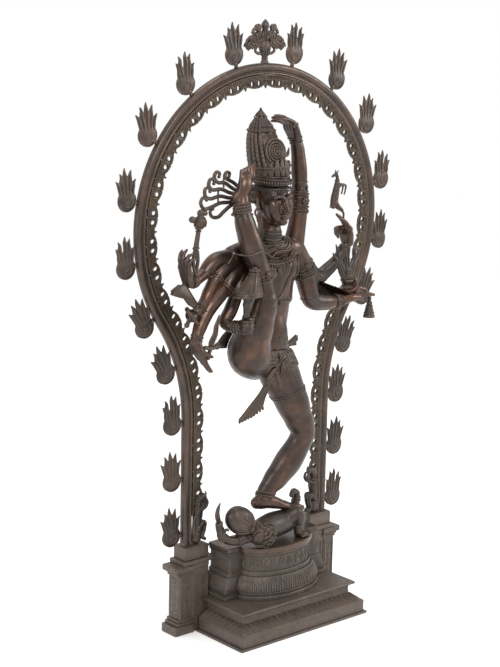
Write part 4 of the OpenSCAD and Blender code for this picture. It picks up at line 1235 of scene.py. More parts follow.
def make_dwarf():
    b = Soup()
    b.limb([(-84, -112, 246), (-52, -96, 250), (-12, -84, 248), (28, -76, 246)],
        [[26, 26, 26], [32, 30, 30], [34, 34, 32], [30, 30, 30]], 0.15, 3)
    # folded arm with bent wrist and raised finger
    b.limb([(-110, -98, 238), (-150, -94, 238), (-178, -92, 250), (-190, -91, 266)], [13, 12, 11, 9], 0.25)
    b.limb([(-190, -91, 268), (-194, -91, 280), (-188, -91, 290)], [9, 8, 6], 0.3)
    for dx, dz, top in ((-6, 0, 296), (-1, 2, 288), (4, 2, 284)):
        b.limb([(-194 + dx, -91, 278 + dz), (-196 + dx, -91, top - 6), (-195 + dx * 0.8, -91, top)],
            [3.6, 3.1, 2.6], 0.4)
    b.limb([(-184, -91, 262), (-174, -95, 272), (-168, -96, 268)], [4, 3.6, 3], 0.4)
    # bent knee and toes to the right, raised foot
    b.limb([(22, -84, 250), (44, -98, 270), (56, -100, 258), (58, -98, 238), (56, -100, 222)],
        [22, 18, 17, 13, 11], 0.2, 3)
    b.limb([(54, -100, 218), (62, -116, 216)], [10, 8], 0.3)
    for k in range(5):
        b.limb([(50 + 6 * k, -114, 215), (50 + 6.5 * k, -122, 214)], [3.6, 3.0], 0.4)
    b.limb([(40, -66, 250), (72, -58, 262), (84, -58, 284), (84, -60, 304)], [18, 14, 11, 9], 0.2, 3)
    b.limb([(84, -60, 306), (72, -62, 312), (62, -64, 304)], [8, 8, 6], 0.3)
    skin = fused(b, 1.5, 4)
    look = Skin(skin)
    s = Soup()
    armlet(s, look, (-182, -92, 256), (-0.5, 0, 0.8), 1.8, (-7, -2, 3, 8), 0, 26, 0.9, 24)
    armlet(s, look, (-132, -95, 238), (-1, 0, 0), 2.0, (-6, 0, 6), 2.0, 30, 1.2, 24)
    armlet(s, look, (58, -98, 232), (0, 0, 1), 1.8, (-4, 3), 0, 30, 0.9, 24)
    armlet(s, look, (82, -58, 290), (0, 0, 1), 1.8, (-4, 3), 0, 24, 0.9, 24)
    # curved blade
    pts, rad = curve([(-172, -84, 262), (-184, -82, 284), (-190, -80, 306), (-186, -78, 322),
        (-178, -77, 336)], [5.0, 6.5, 6.8, 5.0, 0.8], 3)
    s.tube(pts, rad, sides=10, up=(0.2, 1, 0), flat=0.4)
    s.tube([p + vec(0, -r * 0.4, 0) for p, r in zip(pts[1:-2], rad[1:-2])], 0.9, sides=6)
    piece("dwarf_body_cast", "statue", DARK, s, skin, ["dwarf_body"])

    # head on its side, with rows of curls
    b, s = Soup(), Soup()
    c = vec(-76, -112, 246)
    b.limb([c + vec(0, 8, 0), c + vec(4, -6, -2)], [[31, 28, 31], [30, 22, 30]], 0.2, 3)
    b.limb([c + vec(-18, -14, 0), c + vec(-29, -13, -2)], [[14, 12, 16], [7, 7, 9]], 0.3, 3)
    b.ball(c + vec(-30, -14, 1), (6, 5, 5))
    for dz in (-9, 8):
        b.ball(c + vec(-24, -20, dz), (4.6, 4, 5))
    b.limb([c + vec(-33, -12, -9), c + vec(-32, -16, -8)], [3.4, 3.0], 0.4)
    skin = fused(b, 1.4, 3)
    look = Skin(skin)
    for ring_r, count in ((4, 1), (12, 7), (21, 12), (29, 16)):
        for k in range(count):
            a = 2 * math.pi * k / max(count, 1) + ring_r
            p = c + vec(9 + ring_r * math.cos(a) * 0.95, -36 + 0.028 * ring_r ** 2, ring_r * math.sin(a))
            if p[0] < c[0] - 14:
                continue
            q, n = look.near(p)
            u = unit(np.cross(n, vec(0.3, 0.2, 1)))
            w = np.cross(n, u)
            coil = [q + n * (1.2 + 0.28 * j) + (4.6 - 0.36 * j) * (math.cos(0.9 * j) * u + math.sin(0.9 *
                j) * w) for j in range(11)]
            s.tube(coil, [1.7] * 8 + [1.5, 1.3, 1.1], sides=6)
    for k in range(12):
        a = 2 * math.pi * k / 12
        q, n = look.near(c + vec(-11, -8 + 27 * math.cos(a), 29 * math.sin(a)))
        s.ball(q, (3, 4.4, 4.4), 1)
    piece("dwarf_head_cast", "statue", DARK, s, skin, ["dwarf_head"])

    # ribbed round shield
    b, s = Soup(), Soup()
    b.limb([(-136, -90, 290), (-128, -92, 284), (-112, -96, 270)],
        [[32, 27, 32], [35, 29, 33], [23, 21, 21]], 0.1, 3)
    skin = fused(b, 1.6, 5)
    look = Skin(skin)
    pole = vec(-108, -118, 262)
    apex, n0 = look.near(pole)
    axis = unit(vec(-124, -92, 280) - apex)
    ref = unit(np.cross(axis, vec(0, 0, 1)))
    ref2 = np.cross(axis, ref)
    for k in range(22):
        a = 2 * math.pi * k / 22
        d = math.cos(a) * ref + math.sin(a) * ref2
        pts = []
        for t in np.linspace(0.16, 1.35, 12):
            q, n = look.near(apex + axis * (34 - 46 * math.cos(t)) + d * 46 * math.sin(t))
            pts.append(q + n * 0.3)
        s.tube(pts, [0.8, 1.1, 1.3, 1.5, 1.7, 1.8, 1.8, 1.8, 1.7, 1.5, 1.2, 0.9], sides=6)
    rosette(s, apex + n0 * 0.5, n0, 7)
    piece("dwarf_shield_cast", "statue", DARK, s, skin, ["dwarf_shield"])


# ---------- finial and beasts ----------

def make_finial():
    top = ARCH_Z + ARCH_R
    s = Soup()
    s.lathe([(12, 0.5), (11, 3), (8, 6), (9.5, 10), (8, 14), (10, 22), (14, 32), (16, 42), (13, 50),
        (8, 56)], (0, 0, top), (0, 0, 1), 28, squash=(1, 0.68))
    for k in range(10):
        a = 2 * math.pi * k / 10
        s.tube([(9 * math.cos(a), 6 * math.sin(a), top + 16),
            (14.4 * math.cos(a), 9.8 * math.sin(a), top + 33),
            (14 * math.cos(a), 9.4 * math.sin(a), top + 47)], [1.2, 1.8, 1.2], sides=6, step=4)
    for side in (-1, 1):
        # foliage lobes with loops and knobs
        for x, z, r in ((22, 62, 12), (40, 54, 11.5), (50, 40, 9.5), (30, 42, 10), (20, 46, 9)):
            b = vec(side * x, 0, top + z)
            s.ball(b, (r, 7.5, r), 3)
            for y in (-1, 1):
                coil = [b + vec(side * (r - 0.62 * j) * math.cos(0.75 * j + x), y * (6.2 + 0.12 * j),
                    (r - 0.62 * j) * math.sin(0.75 * j + x)) for j in range(12)]
                s.tube(coil, [1.7] * 9 + [1.4, 1.2, 1.0], sides=6, step=2.5)
            s.ball(b + vec(0, -7.6, 0), (3.2, 2.4, 3.2))
        s.tube([(side * 6, 0, top + 58), (side * 22, 0, top + 76), (side * 34, 0, top + 78),
            (side * 40, 0, top + 68)], [4.5, 5, 4.5, 3.5], sides=10, step=4)
        s.tube([(side * 44, 0, top + 58), (side * 55, 0, top + 54), (side * 58, 0, top + 38),
            (side * 50, 0, top + 30)], [3.4, 3.4, 3, 2.4], sides=8, step=4)
        s.ball((side * 24, 0, top + 82), (8.6, 8, 8.6), 3)
        s.tube([(side * 24 + 7.4 * math.cos(a), -4, top + 82 + 7.4 * math.sin(a)) for a in around(20)], 1.8,
            sides=6, closed=True)
        s.tube([(side * 8, 0, top + 24), (side * 20, 0, top + 22), (side * 30, 0, top + 28),
            (side * 26, 0, top + 37)], [4, 4, 3.4, 2.4], sides=8, step=4)
    s.ball((0, 0, top + 62), (15, 9, 14), 3)
    s.lathe([(6, 70), (9, 74), (7, 78), (9.4, 84), (9.6, 90), (6, 96), (2.4, 100), (0.5, 102)], (0, 0, top),
        (0, 0, 1), 22)
    for k in range(5):
        a = math.pi * (0.1 + 0.2 * k)
        s.tube([(8 * math.cos(a), -6, top + 60 + 6 * math.sin(a)),
            (17 * math.cos(a), -9, top + 60 + 15 * math.sin(a))], [3.4, 1.6], sides=8)
    s.ball((0, -9, top + 60), (5, 4, 5))
    piece("finial_cast", "arch", DARK, s, replaces=["finial"])


def make_yalis():
    x = LEG_X - RIM_W
    b, s = Soup(), Soup()
    b.limb([(x - 14, -4, 226), (x - 16, -5, 246), (x - 15, -6, 268), (x - 18, -6, 292), (x - 17, -6, 312)],
        [[14, 11, 9], [13, 11, 13], [11, 11, 14], [13.5, 12.5, 16], [11, 10, 12]], 0.15, 3)
    b.limb([(x - 17, -6, 316), (x - 21, -7, 328), (x - 30, -8, 334), (x - 38, -8, 332)], [11, 11.5, 9, 5.5],
        0.2, 3)
    for y in (-12, -1):
        b.limb([(x - 20, y, 300), (x - 36, y, 306), (x - 43, y, 316), (x - 40, y, 326)], [6, 4.8, 4, 3.6],
            0.3)
        b.limb([(x - 16, y, 256), (x - 33, y, 268), (x - 35, y, 252), (x - 30, y, 234), (x - 36, y, 226)],
            [8.5, 7, 5, 4.4, 5], 0.3)
        b.limb([(x - 18, y, 332), (x - 14, y, 341)], [3.6, 2.4], 0.4)
    skin = fused(b, 1.3, 3)
    look = Skin(skin)
    for k in range(7):
        for y in (-1, 1):
            p, n = look.near((x - 12 + 1.5 * k, -6 + 16 * y, 322 - 5.5 * k))
            s.tube([p, p + n * 2 + vec(2, 0, -4), p + n + vec(1, 0, -8)], [2.4, 2.0, 0.9], sides=6)
    s.tube([(x - 6, -8, 232), (x - 2.5, -12, 252), (x - 3, -12, 276), (x - 8, -12, 290),
        (x - 12, -12, 282)], [3.4, 3.2, 3, 2.6, 2.2], sides=8, step=4)
    s.ball((x - 32, -13, 337), (2.2, 2, 2.2))
    s.tube([(x - 38, -8, 334), (x - 42, -8, 340), (x - 38, -8, 345)], [2.8, 2.2, 1.4], sides=8, step=3)
    armlet(s, look, (x - 18, -6, 306), (0, 0, 1), 1.6, (-3, 3), 1.8, 26, 0.8, 24)
    for side, word in ((1, "right"), (-1, "left")):
        total = Soup()
        total.add(skin[0] * vec(side, 1, 1), skin[1])
        total.merge(s, (np.diag([side, 1, 1]), vec(0, 0, 0)))
        piece(f"yali_{word}_cast", "arch", DARK, total, replaces=[f"yali_{word}"])


# ---------- base ----------

def plate(s, half_w, front, back, profile, radius=2.5):
    """A stack of rounded rectangles: profile gives (side inset, front inset, height)."""
    loops = []
    for side_in, front_in, z in profile:
        w, f = half_w - side_in, front + front_in
        corner = []
        for cx, cy, a0 in ((-w + radius, f + radius, math.pi), (w - radius, f + radius, 1.5 * math.pi)):
            for k in range(4):
                a = a0 + math.pi / 2 * k / 3
                corner.append((cx + radius * math.cos(a), cy + radius * math.sin(a), z))
        loops.append(corner + [(w, back, z), (-w, back, z)])
    s.rings(loops)


def wedge(z0, z1, edge=1.2):
    """Profile of a plain slab with softened edges."""
    return [(edge, edge, z0), (0, 0, z0 + edge), (0, 0, z1 - edge), (edge, edge, z1)]


def petal_row(s, a, b, up_vec, out_vec, count, r=1.0):
    """Engraved lotus petals drawn in relief between two corners."""
    a, b, up_vec, out_vec = (np.asarray(x, float) for x in (a, b, up_vec, out_vec))
    step = (b - a) / count
    for k in range(count):
        c = a + step * (k + 0.5)
        w = step * 0.44
        pts = [c - w + up_vec * 0.02, c - w * 1.0 + up_vec * 0.5, c - w * 0.5 + up_vec * 0.86, c + up_vec,
            c + w * 0.5 + up_vec * 0.86, c + w + up_vec * 0.5, c + w + up_vec * 0.02]
        s.tube([p + out_vec * 0.2 for p in pts], r, sides=6)
        s.tube([c + up_vec * 0.05 + out_vec * 0.2, c + up_vec * 0.72 + out_vec * 0.2], [r * 1.5, r * 0.5],
            sides=6)


def make_plinths():
    s = Soup()
    plate(s, 208, -200, -28, wedge(0, 6))
    plate(s, 200, -195, -28, wedge(5, 35, 1.6))
    plate(s, 200, -195, -28, [(1, 1, 34), (1.0, 1, 35.4), (26, 30, 51.6), (27, 31, 52)], 2.5)
    s.rings([[(-166, -28, z), (166, -28, z), (166, 28, z), (-166, 28, z)] for z in (0, 52)])
    front_up, front_out = vec(0, 28, 15.5), unit(vec(0, -1, 1.8))
    petal_row(s, (-184, -192.5, 36.6), (184, -192.5, 36.6), front_up, front_out, 22)
    for side in (-1, 1):
        petal_row(s, (side * 197.5, -178, 36.6), (side * 197.5, -32, 36.6), vec(-side * 23.5, 0, 15),
            unit(vec(side, 0, 1.6)), 9)
        for z in (9.5, 31.5):
            s.tube([(side * 200, -193, z), (side * 200, -28.5, z)], 1.3, sides=8)
    for z in (9.5, 31.5):
        s.tube([(-199, -195, z), (199, -195, z)], 1.3, sides=8)
    piece("plinth_lower_cast", "statue", BASE, s, replaces=["plinth_lower"], smooth=35)
    s = Soup()
    plate(s, 174, -165, -28, [(0.8, 0.8, 52), (0, 0, 53), (0, 0, 71), (2, 2, 73), (0, 0, 76)], 2.5)
    plate(s, 186, -177, -28, wedge(76, 82, 1.6))
    s.rings([[(-166, -28, z), (166, -28, z), (166, 28, z), (-166, 28, z)] for z in (52.1, 81.9)])
    for z in (56.5, 70.0):
        s.tube([(-173, -165, z), (173, -165, z)], 1.1, sides=8)
        for side in (-1, 1):
            s.tube([(side * 174, -164, z), (side * 174, -28.5, z)], 1.1, sides=8)
    for k in range(29):
        s.ball((-168 + 12 * k, -165, 63.2), (3.6, 1.6, 3.6), 1)
    for side in (-1, 1):
        for k in range(11):
            s.ball((side * 174, -156 + 12 * k, 63.2), (1.6, 3.6, 3.6), 1)
    piece("plinth_upper_cast", "statue", BASE, s, replaces=["plinth_upper"], smooth=35)


DRUM_HALF, DRUM_FRONT = 148, -74     # the square back part
BULGE_HALF, BULGE_DEPTH = 108, 64    # the half-ellipse in front of it


def drum_outline(grow):
    """Square back and half-ellipse front, as in the CAD plan."""
    y0 = DRUM_FRONT - grow / 2
    a, b = BULGE_HALF + grow, BULGE_DEPTH + grow / 2
    half_w = DRUM_HALF + grow
    pts = [(-half_w, 0), (-half_w, y0)]
    pts += [(x, y0) for x in np.linspace(-half_w + 6, -a - 1, 5)]
    pts += [(a * math.cos(t), y0 + b * math.sin(t)) for t in np.linspace(math.pi, 2 * math.pi, 73)]
    pts += [(x, y0) for x in np.linspace(a + 1, half_w - 6, 5)]
    pts += [(half_w, y0), (half_w, 0)]
    return pts


def drum_stack(s, rows):
    s.rings([[(x, y, z) for x, y in drum_outline(g)] for g, z in rows])


def make_drum():
    s = Soup()
    drum_stack(s, [(16, 82), (17, 83.2), (17, 90.6), (16, 92), (12, 92.4), (12, 97), (13, 98.5), (14, 102),
        (14.2, 107), (14, 111), (12.8, 116),
                   (10.6, 122), (7.8, 128), (5, 134), (4, 136), (0, 136.4), (-0.2, 141), (-0.6, 146),
                       (-5, 147.4), (-5.4, 150), (-5.6, 170), (-5.4, 189), (-4, 192), (-3, 193)])

    # lotus petals on the torus, in one row, each with a middle rib
    def on_drum(u, grow, z):
        y0 = DRUM_FRONT - grow / 2
        a, b = BULGE_HALF + grow, BULGE_DEPTH + grow / 2
        t = math.pi + math.pi * u
        return vec(a * math.cos(t), y0 + b * math.sin(t), z)
    count = 26
    for k in range(count):
        u0, du = (k + 0.5) / count, 0.46 / count
        line = [on_drum(u0 - du, 14.4, 101), on_drum(u0 - du, 14.2, 112), on_drum(u0 - du * 0.55, 9.8, 125),
            on_drum(u0, 6.2, 132.5),
                on_drum(u0 + du * 0.55, 9.8, 125), on_drum(u0 + du, 14.2, 112), on_drum(u0 + du, 14.4, 101)]
        s.tube(line, 1.5, sides=8, step=5)
        s.tube([on_drum(u0, 14.6, 104), on_drum(u0, 13.6, 116), on_drum(u0, 9.8, 125)], [2.6, 2.4, 1.0],
            sides=8, step=5)
    for z, g, r in ((98.4, 13.2, 1.6), (136.2, 3.0, 1.8), (146.8, -2.5, 1.8), (190.5, -4.4, 2.0)):
        s.tube([on_drum(u, g, z) for u in np.linspace(0.005, 0.995, 60)], r, sides=8)
    # scrolls round the neck
    for k in range(13):
        u0 = (k + 0.5) / 13
        e = 1 if k % 2 else -1
        path = []
        for j in range(15):
            t = 0.55 * j
            rr = 13.5 - 0.8 * j
            path.append(on_drum(u0 + e * rr * math.cos(t) / 560, -4.8, 168 + e * rr * 0.95 * math.sin(t)))
        s.tube(path, [1.5] * 12 + [1.3, 1.1, 1.0], sides=6, step=4)
        s.tube([on_drum(u0 - 0.5 / 13, -4.8, 168 - e * 13), on_drum(u0 - 0.25 / 13, -4.8, 168 - e * 17),
            on_drum(u0, -4.8, 168 + e * 14), on_drum(u0 + 0.3 / 13, -4.8, 168 + e * 17)], 1.2, sides=6,
            step=5)
    for z in (154.5, 184.5):
        s.tube([on_drum(u, -5.0, z) for u in np.linspace(0.005, 0.995, 60)], 1.1, sides=8)
    piece("drum_body_cast", "statue", BASE, s, replaces=["drum_body"], smooth=35)
    # pairs of small triangular recesses, drawn as near-black triangles on the surface: painted shade of the
    # pits
    s = Soup()
    for k in range(9):
        for e in (-0.012, 0.012):
            u0 = (k + 0.5) / 9 + e
            p = [on_drum(u0 - 0.008, 17.1, 84.6), on_drum(u0 + 0.008, 17.1, 84.6), on_drum(u0, 17.1, 90.2)]
            n = unit(p[0] * vec(1, 1, 0) - vec(0, -74, 0))
            s.rings([[q - n * 1.2 for q in p], [q + n * 0.15 for q in p]])
    piece("drum_pit_painted_shade", "statue", PIT_SHADE, s, smooth=False)
    s = Soup()
    drum_stack(s, [(-3, 193), (-1, 193.6), (-1, 198), (0, 199), (1.6, 199.8), (2, 202), (2, 206),
        (1.2, 208.6), (-1.5, 209.8), (-8, 210)])
    s.tube([on_drum(u, 0.5, 199) for u in np.linspace(0.005, 0.995, 60)], 1.3, sides=8)
    piece("drum_top_cast", "statue", RIM, s, replaces=["drum_top"], smooth=35)


# near-black colour for the drum's triangular recesses: painted shade in place of the shade inside the pits
PIT_SHADE = bronze("painted_recess_shade", (0.006, 0.005, 0.004), (0.010, 0.008, 0.006), (0.016, 0.012, 0.010),
    (0.05, 0.04, 0.03), (0.03, 0.025, 0.02), 0.0, 0.3, metallic=0.2, rough=(0.6, 0.8))


def block(s, x0, x1, y0, y1, z0, z1, e=1.2):
    """A box with softened edges."""
    loops = []
    for c, z in ((e, z0), (0, z0 + e), (0, z1 - e), (e, z1)):
        loops.append([(x0 + c + e, y0 + c, z), (x1 - c - e, y0 + c, z), (x1 - c, y0 + c + e, z),
            (x1 - c, y1 - c - e, z),
                      (x1 - c - e, y1 - c, z), (x0 + c + e, y1 - c, z), (x0 + c, y1 - c - e, z),
                          (x0 + c, y0 + c + e, z)])
    s.rings(loops)


def make_piers():
    for side, word in ((-1, "left"), (1, "right")):
        s = Soup()
        block(s, 166, 216, -22, 22, 0, 173)
        block(s, 213, 272, -28, 28, 0, 22, 1.6)
        block(s, 213, 264, -25, 25, 22, 30, 1.5)
        block(s, 213, 260, -23.5, 23.5, 30, 37, 1.5)
        block(s, 216, 255, -22, 22, 36, 146)
        block(s, 213, 260, -23, 23, 145, 152, 1.5)
        block(s, 213, 264, -24.5, 24.5, 152, 158, 1.5)
        block(s, 213, 272, -28, 28, 158, 173, 2)
        block(s, 166, 216, -24, 24, 160, 173, 1.5)
        block(s, 166, 216, -24, 24, 0, 10, 1.5)
        # engraved frames and leaf scrolls on the faces
        for y in (-22, 22):
            for x0, x1 in ((220, 251), (170, 210)):
                for inset, r in ((0, 1.2), (4, 0.9)):
                    frame_pts = [(x0 + inset, y, 44 + inset), (x1 - inset, y, 44 + inset),
                        (x1 - inset, y, 140 - inset), (x0 + inset, y, 140 - inset)]
                    for a, b in zip(frame_pts, frame_pts[1:] + frame_pts[:1]):
                        s.tube([a, b], r, sides=6)
                xm, w = (x0 + x1) / 2, (x1 - x0) / 2 - 6
                for k in range(6):
                    z = 56 + 14.4 * k
                    e = 1 if k % 2 else -1
                    coil = [(xm + e * (w * 0.62 - 0.055 * w * j) * math.cos(0.7 * j), y,
                        z + (w * 0.55 - 0.05 * w * j) * math.sin(0.7 * j)) for j in range(11)]
                    s.tube(coil, 0.95, sides=6, step=2.5)
                s.tube([(xm + 3 * math.sin(z / 6), y, z) for z in np.linspace(50, 134, 24)], 0.95, sides=6)
        for x in (255,):
            frame_pts = [(x, -17, 46), (x, 17, 46), (x, 17, 138), (x, -17, 138)]
            for a, b in zip(frame_pts, frame_pts[1:] + frame_pts[:1]):
                s.tube([a, b], 1.2, sides=6)
            for k in range(6):
                z = 56 + 14.4 * k
                e = 1 if k % 2 else -1
                coil = [(x, e * (8 - 0.7 * j) * math.cos(0.7 * j), z + (7 - 0.6 * j) * math.sin(0.7 * j))
                    for j in range(11)]
                s.tube(coil, 0.95, sides=6, step=2.5)
        for v in s.verts:
            v[:, 0] *= side
        piece(f"pier_{word}_cast", "statue", BASE, s, replaces=[f"pier_{word}"], smooth=35)
        # foot block as a hollow frame round the tenon's socket
        s = Soup()
        tx = LEG_X - RIM_W / 2
        gx, gy = 6.3, 4.8
        for x0, x1, yh, z0, z1 in ((150, 249, 27, 173, 184), (168, 240, 22, 184, 217)):
            e = 1.6
            def loop(c, z):
                return [(x0 + c, -yh + c, z), (x1 - c, -yh + c, z), (x1 - c, yh - c, z),
                    (x0 + c, yh - c, z)]
            def hole(z):
                return [(tx - gx, -gy, z), (tx + gx, -gy, z), (tx + gx, gy, z), (tx - gx, gy, z)]
            if z0 < 176:
                s.rings([loop(e, z0), loop(0, z0 + e), loop(0, z1 - e), loop(e, z1)])
            else:
                loops = [hole(z0 + 0.2), loop(e, z0 + 0.1), loop(0, z0 + e), loop(0, z1 - e), loop(e, z1),
                    hole(z1)]
                verts = np.vstack(loops)
                faces = [[i * 4 + k, i * 4 + (k + 1) % 4, ((i + 1) % 6) * 4 + (k + 1) % 4,
                    ((i + 1) % 6) * 4 + k] for i in range(6) for k in range(4)]
                s.add(verts, faces)
        for z in (188.5, 212.5):
            for y in (-22, 22):
                s.tube([(169, y, z), (239, y, z)], 1.2, sides=6)
        for v in s.verts:
            v[:, 0] *= side
        piece(f"foot_block_{word}_cast", "statue", BASE, s, replaces=[f"foot_block_{word}"],
            smooth=35)


# ---------- things held ----------

def grip(s, skin, start, r):
    """Joins a held thing to the nearest point of the hand's skin."""
    start = np.asarray(start, float)
    q, n = skin.near(start)
    end = q - n * 2.5
    s.tube([start, (start + end) / 2, end], [r, r * 1.1, r], sides=10)


def make_club(skin):
    s = Soup()
    grip(s, skin, (-262, -74, 902), 4.4)
    path = [(-263, -74, 902), (-262.5, -73, 930), (-259, -72, 960), (-252, -70.5, 992), (-247, -70, 1014),
        (-244, -70, 1036)]
    # forked grip, tapering shaft, collar and knobbed head
    for x in (-4.5, 4.5):
        s.tube([(-262 + x * 0.4, -74, 900), (-262 + x * 1.5, -74, 926), (-260 + x * 0.9, -73, 950)],
            [4.2, 4.4, 4.0], sides=10, step=4)
    s.tube(path[1:4], [5.4, 6.2, 5.2], sides=12, step=4)
    for p, r, t in (((-259.5, -72, 956), 8.4, 2.6), ((-258.5, -72, 962), 6.6, 2.0),
            ((-251.5, -70.4, 994), 7.4, 2.0), ((-249.5, -70.2, 1001), 9.6, 2.8)):
        s.tube([np.array(p) + r * vec(math.cos(a), math.sin(a), 0.12 * math.cos(a)) * 0.72
            for a in around(24)], t, sides=8, closed=True)
    s.lathe([(1, -16), (9, -14), (13, -6), (14, 2), (12, 9), (7, 13), (8.5, 17), (9, 22), (6, 27), (1, 29)],
        (-247, -70, 1015), (0.12, 0, 1), 20)
    for k in range(9):
        a = 2 * math.pi * k / 9
        s.tube([(-247 + 12.6 * math.cos(a), -70 + 12.6 * math.sin(a), 1004),
            (-246.5 + 13.8 * math.cos(a), -70 + 13.8 * math.sin(a), 1016),
            (-245 + 8 * math.cos(a), -70 + 8 * math.sin(a), 1027)], [1.5, 2.0, 1.2], sides=6, step=4)
    s.tube([(-252, -70, 1022), (-268, -70, 1022)], 3.6, sides=8)
    s.lathe([(0.5, -8), (5.5, -6), (8, -1), (7.4, 4), (4, 8), (0.5, 9)], (-269, -70, 1022), (-1, 0, 0), 18)
    s.ball((-232, -70, 1034), (6.4, 6, 6.4))
    s.tube([(-242, -70, 1030), (-232, -70, 1034)], 3.0)
    piece("club_cast", "statue", ORNAMENT, s, replaces=["club"])


def make_axe():
    s = Soup()
    top = [(-262, 828), (-276, 846), (-292, 868), (-302, 879), (-326, 872), (-338, 858), (-322, 853),
        (-300, 846), (-285, 828), (-272, 820)]
    c = np.mean(top, axis=0)
    loops = []
    for grow, y in ((0.9, -86.5), (0.98, -85.5), (1.0, -83.6), (1.0, -77.4), (0.98, -76.2), (0.9, -75.4)):
        loops.append([(c[0] + (x - c[0]) * grow, y, c[1] + (z - c[1]) * grow) for x, z in top])
    s.rings(loops)
    edge = [(x, -86, z) for x, z in top]
    s.tube(edge, 1.6, sides=6, closed=True)
    for k in range(9):
        t = k / 8
        a = vec(-268 - 52 * t, -86.4, 830 + 26 * t)
        b = vec(-276 - 44 * t, -86.4, 842 + 26 * t - 6 * t * t)
        s.tube([a, b], [1.3, 0.9], sides=6)
    s.tube([(-262, -82, 826), (-274, -81, 806), (-288, -80, 786)], [6.0, 5.6, 5.0], sides=10, step=4)
    s.ball((-290, -80, 782), 6.6)
    for k in range(5):
        s.ball((-334 + 4.5 * k, -81, 866 + 2.4 * k), (4.2, 4, 4.2))
    piece("axe_cast", "statue", ORNAMENT, s, replaces=["axe"], smooth=60)


def make_dagger():
    s = Soup()
    path = [(-232, -97, 722), (-231, -99, 738), (-222, -100, 756), (-217, -98, 774), (-206, -95, 800)]
    pts, rad = curve(path, [6.2, 8.4, 7.2, 6.6, 1.0], 2.5)
    s.tube(pts, rad, sides=12, up=(0.2, 1, 0), flat=0.42)
    for dx in (-3.2, 0, 3.2):
        s.tube([p + vec(dx * r / 8, -r * 0.42, 0) for p, r in zip(pts[2:-3], rad[2:-3])], 0.8, sides=6)
    s.limb([(-250, -99, 728), (-232, -99, 724), (-214, -98, 727)], [5, 5.4, 5.6], 0.4)
    s.tube([(-214 + 6.5 * math.cos(a), -99, 727 + 6.5 * math.sin(a)) for a in around(18)], 2.4, sides=8,
        closed=True)
    s.limb([(-234, -97, 720), (-238, -96, 706)], [5, 4.6], 0.4)
    s.ball((-239, -96, 702), 6)
    piece("dagger_cast", "statue", ORNAMENT, s, replaces=["dagger"])


def make_hand_drum():
    s, body = Soup(), Soup()
    rows = []
    n = 40
    low, high = vec(-148, -128, 843), vec(-126, -124, 897)
    profile = [(0.0, 0.985, -3), (0.0, 1.0, -1), (0.03, 1.0, 0), (0.07, 0.95, 0), (0.11, 0.97, 0),
        (0.16, 0.9, 0), (0.35, 0.72, 0),
               (0.55, 0.55, 0), (0.75, 0.42, 0), (0.9, 0.36, 0), (1.0, 0.3, 0), (1.0, 0.16, 3)]
    for t, k, dz in profile:
        c = low * (1 - t) + high * t + vec(0, 0, dz)
        rows.append([c + vec(40 * k * math.cos(a) * (1 + 0.03 * math.cos(9 * a) * t), 27 * k * math.sin(a),
            0) for a in around(n)])
    body.rings(rows)
    s.merge(body)
    for t, k, r in ((0.0, 1.0, 1.7), (0.09, 0.94, 1.3), (0.9, 0.36, 2.0)):
        c = low * (1 - t) + high * t
        s.tube([c + vec(40 * k * math.cos(a), 27 * k * math.sin(a), 0) for a in around(40)], r, sides=8,
            closed=True)
    for k in range(18):
        a = 2 * math.pi * k / 18
        line = []
        for t, g in ((0.14, 0.92), (0.35, 0.735), (0.6, 0.53), (0.84, 0.4)):
            c = low * (1 - t) + high * t
            line.append(c + vec(40 * g * math.cos(a + 0.2 * t), 27 * g * math.sin(a + 0.2 * t), 0))
        s.tube(line, [1.5, 1.3, 1.1, 0.9], sides=6, step=6)
    for k in range(7):
        a = 2 * math.pi * k / 7
        s.ball(high + vec(9 * math.cos(a), 8 * math.sin(a), 2), (5.5, 5, 5))
    s.ball(high + vec(0, 0, 6), (7, 7, 6))
    s.lathe([(6, -64), (8, -60), (6.5, -54), (9.5, -50), (7.5, -46), (8, -30), (10, -22), (8, -14),
        (12, -6), (14, 0)], (-151, -128, 844), (0.03, 0, 1), 22)
    piece("hand_drum_cast", "statue", ORNAMENT, s, replaces=["hand_drum"])


def make_deer():
    b, s = Soup(), Soup()
    b.limb([(196, -45, 1018), (199, -45, 1034), (203, -45, 1052), (206, -45, 1066), (207, -45, 1078)],
        [[10, 7, 9], [11.5, 8, 12], [10, 7.4, 11], [8.5, 6.4, 9], [5.4, 4.6, 7]], 0.12, 3)
    b.limb([(207, -45, 1076), (206, -45, 1086), (203, -45, 1093)], [5, 4.4, 4.8], 0.3)
    b.limb([(203, -45, 1093), (195, -45, 1092), (189, -45, 1089)], [5, 3.8, 2.8], 0.3)
    for y in (-50, -40):
        b.limb([(201, y * 0.3 - 31.5, 1096), (205, y, 1104)], [2.4, 1.4], 0.4)
        b.limb([(207, y, 1064), (220, y, 1068), (231, y, 1065), (230, y, 1054), (227, y, 1044)],
            [4.2, 3.4, 2.8, 2.3, 2.2], 0.3)
        b.limb([(200, y, 1024), (211, y, 1013), (222, y, 1005)], [6.2, 4.6, 3.6], 0.3)
    b.limb([(222, -45, 1005), (231, -45, 996), (232, -45, 980), (236, -45, 968)], [4.0, 3.0, 2.6, 3.0], 0.3)
    b.limb([(190, -45, 1020), (184, -45, 1013)], [3.4, 1.4], 0.4)
    s.tube([(206 + 6.2 * math.cos(a), -45 + 5.4 * math.sin(a), 1079 + 1.0 * math.cos(a))
        for a in around(18)], 1.2, sides=6, closed=True)
    piece("deer_cast", "statue", DARK, s, fused(b, 1.0, 3), ["deer"])


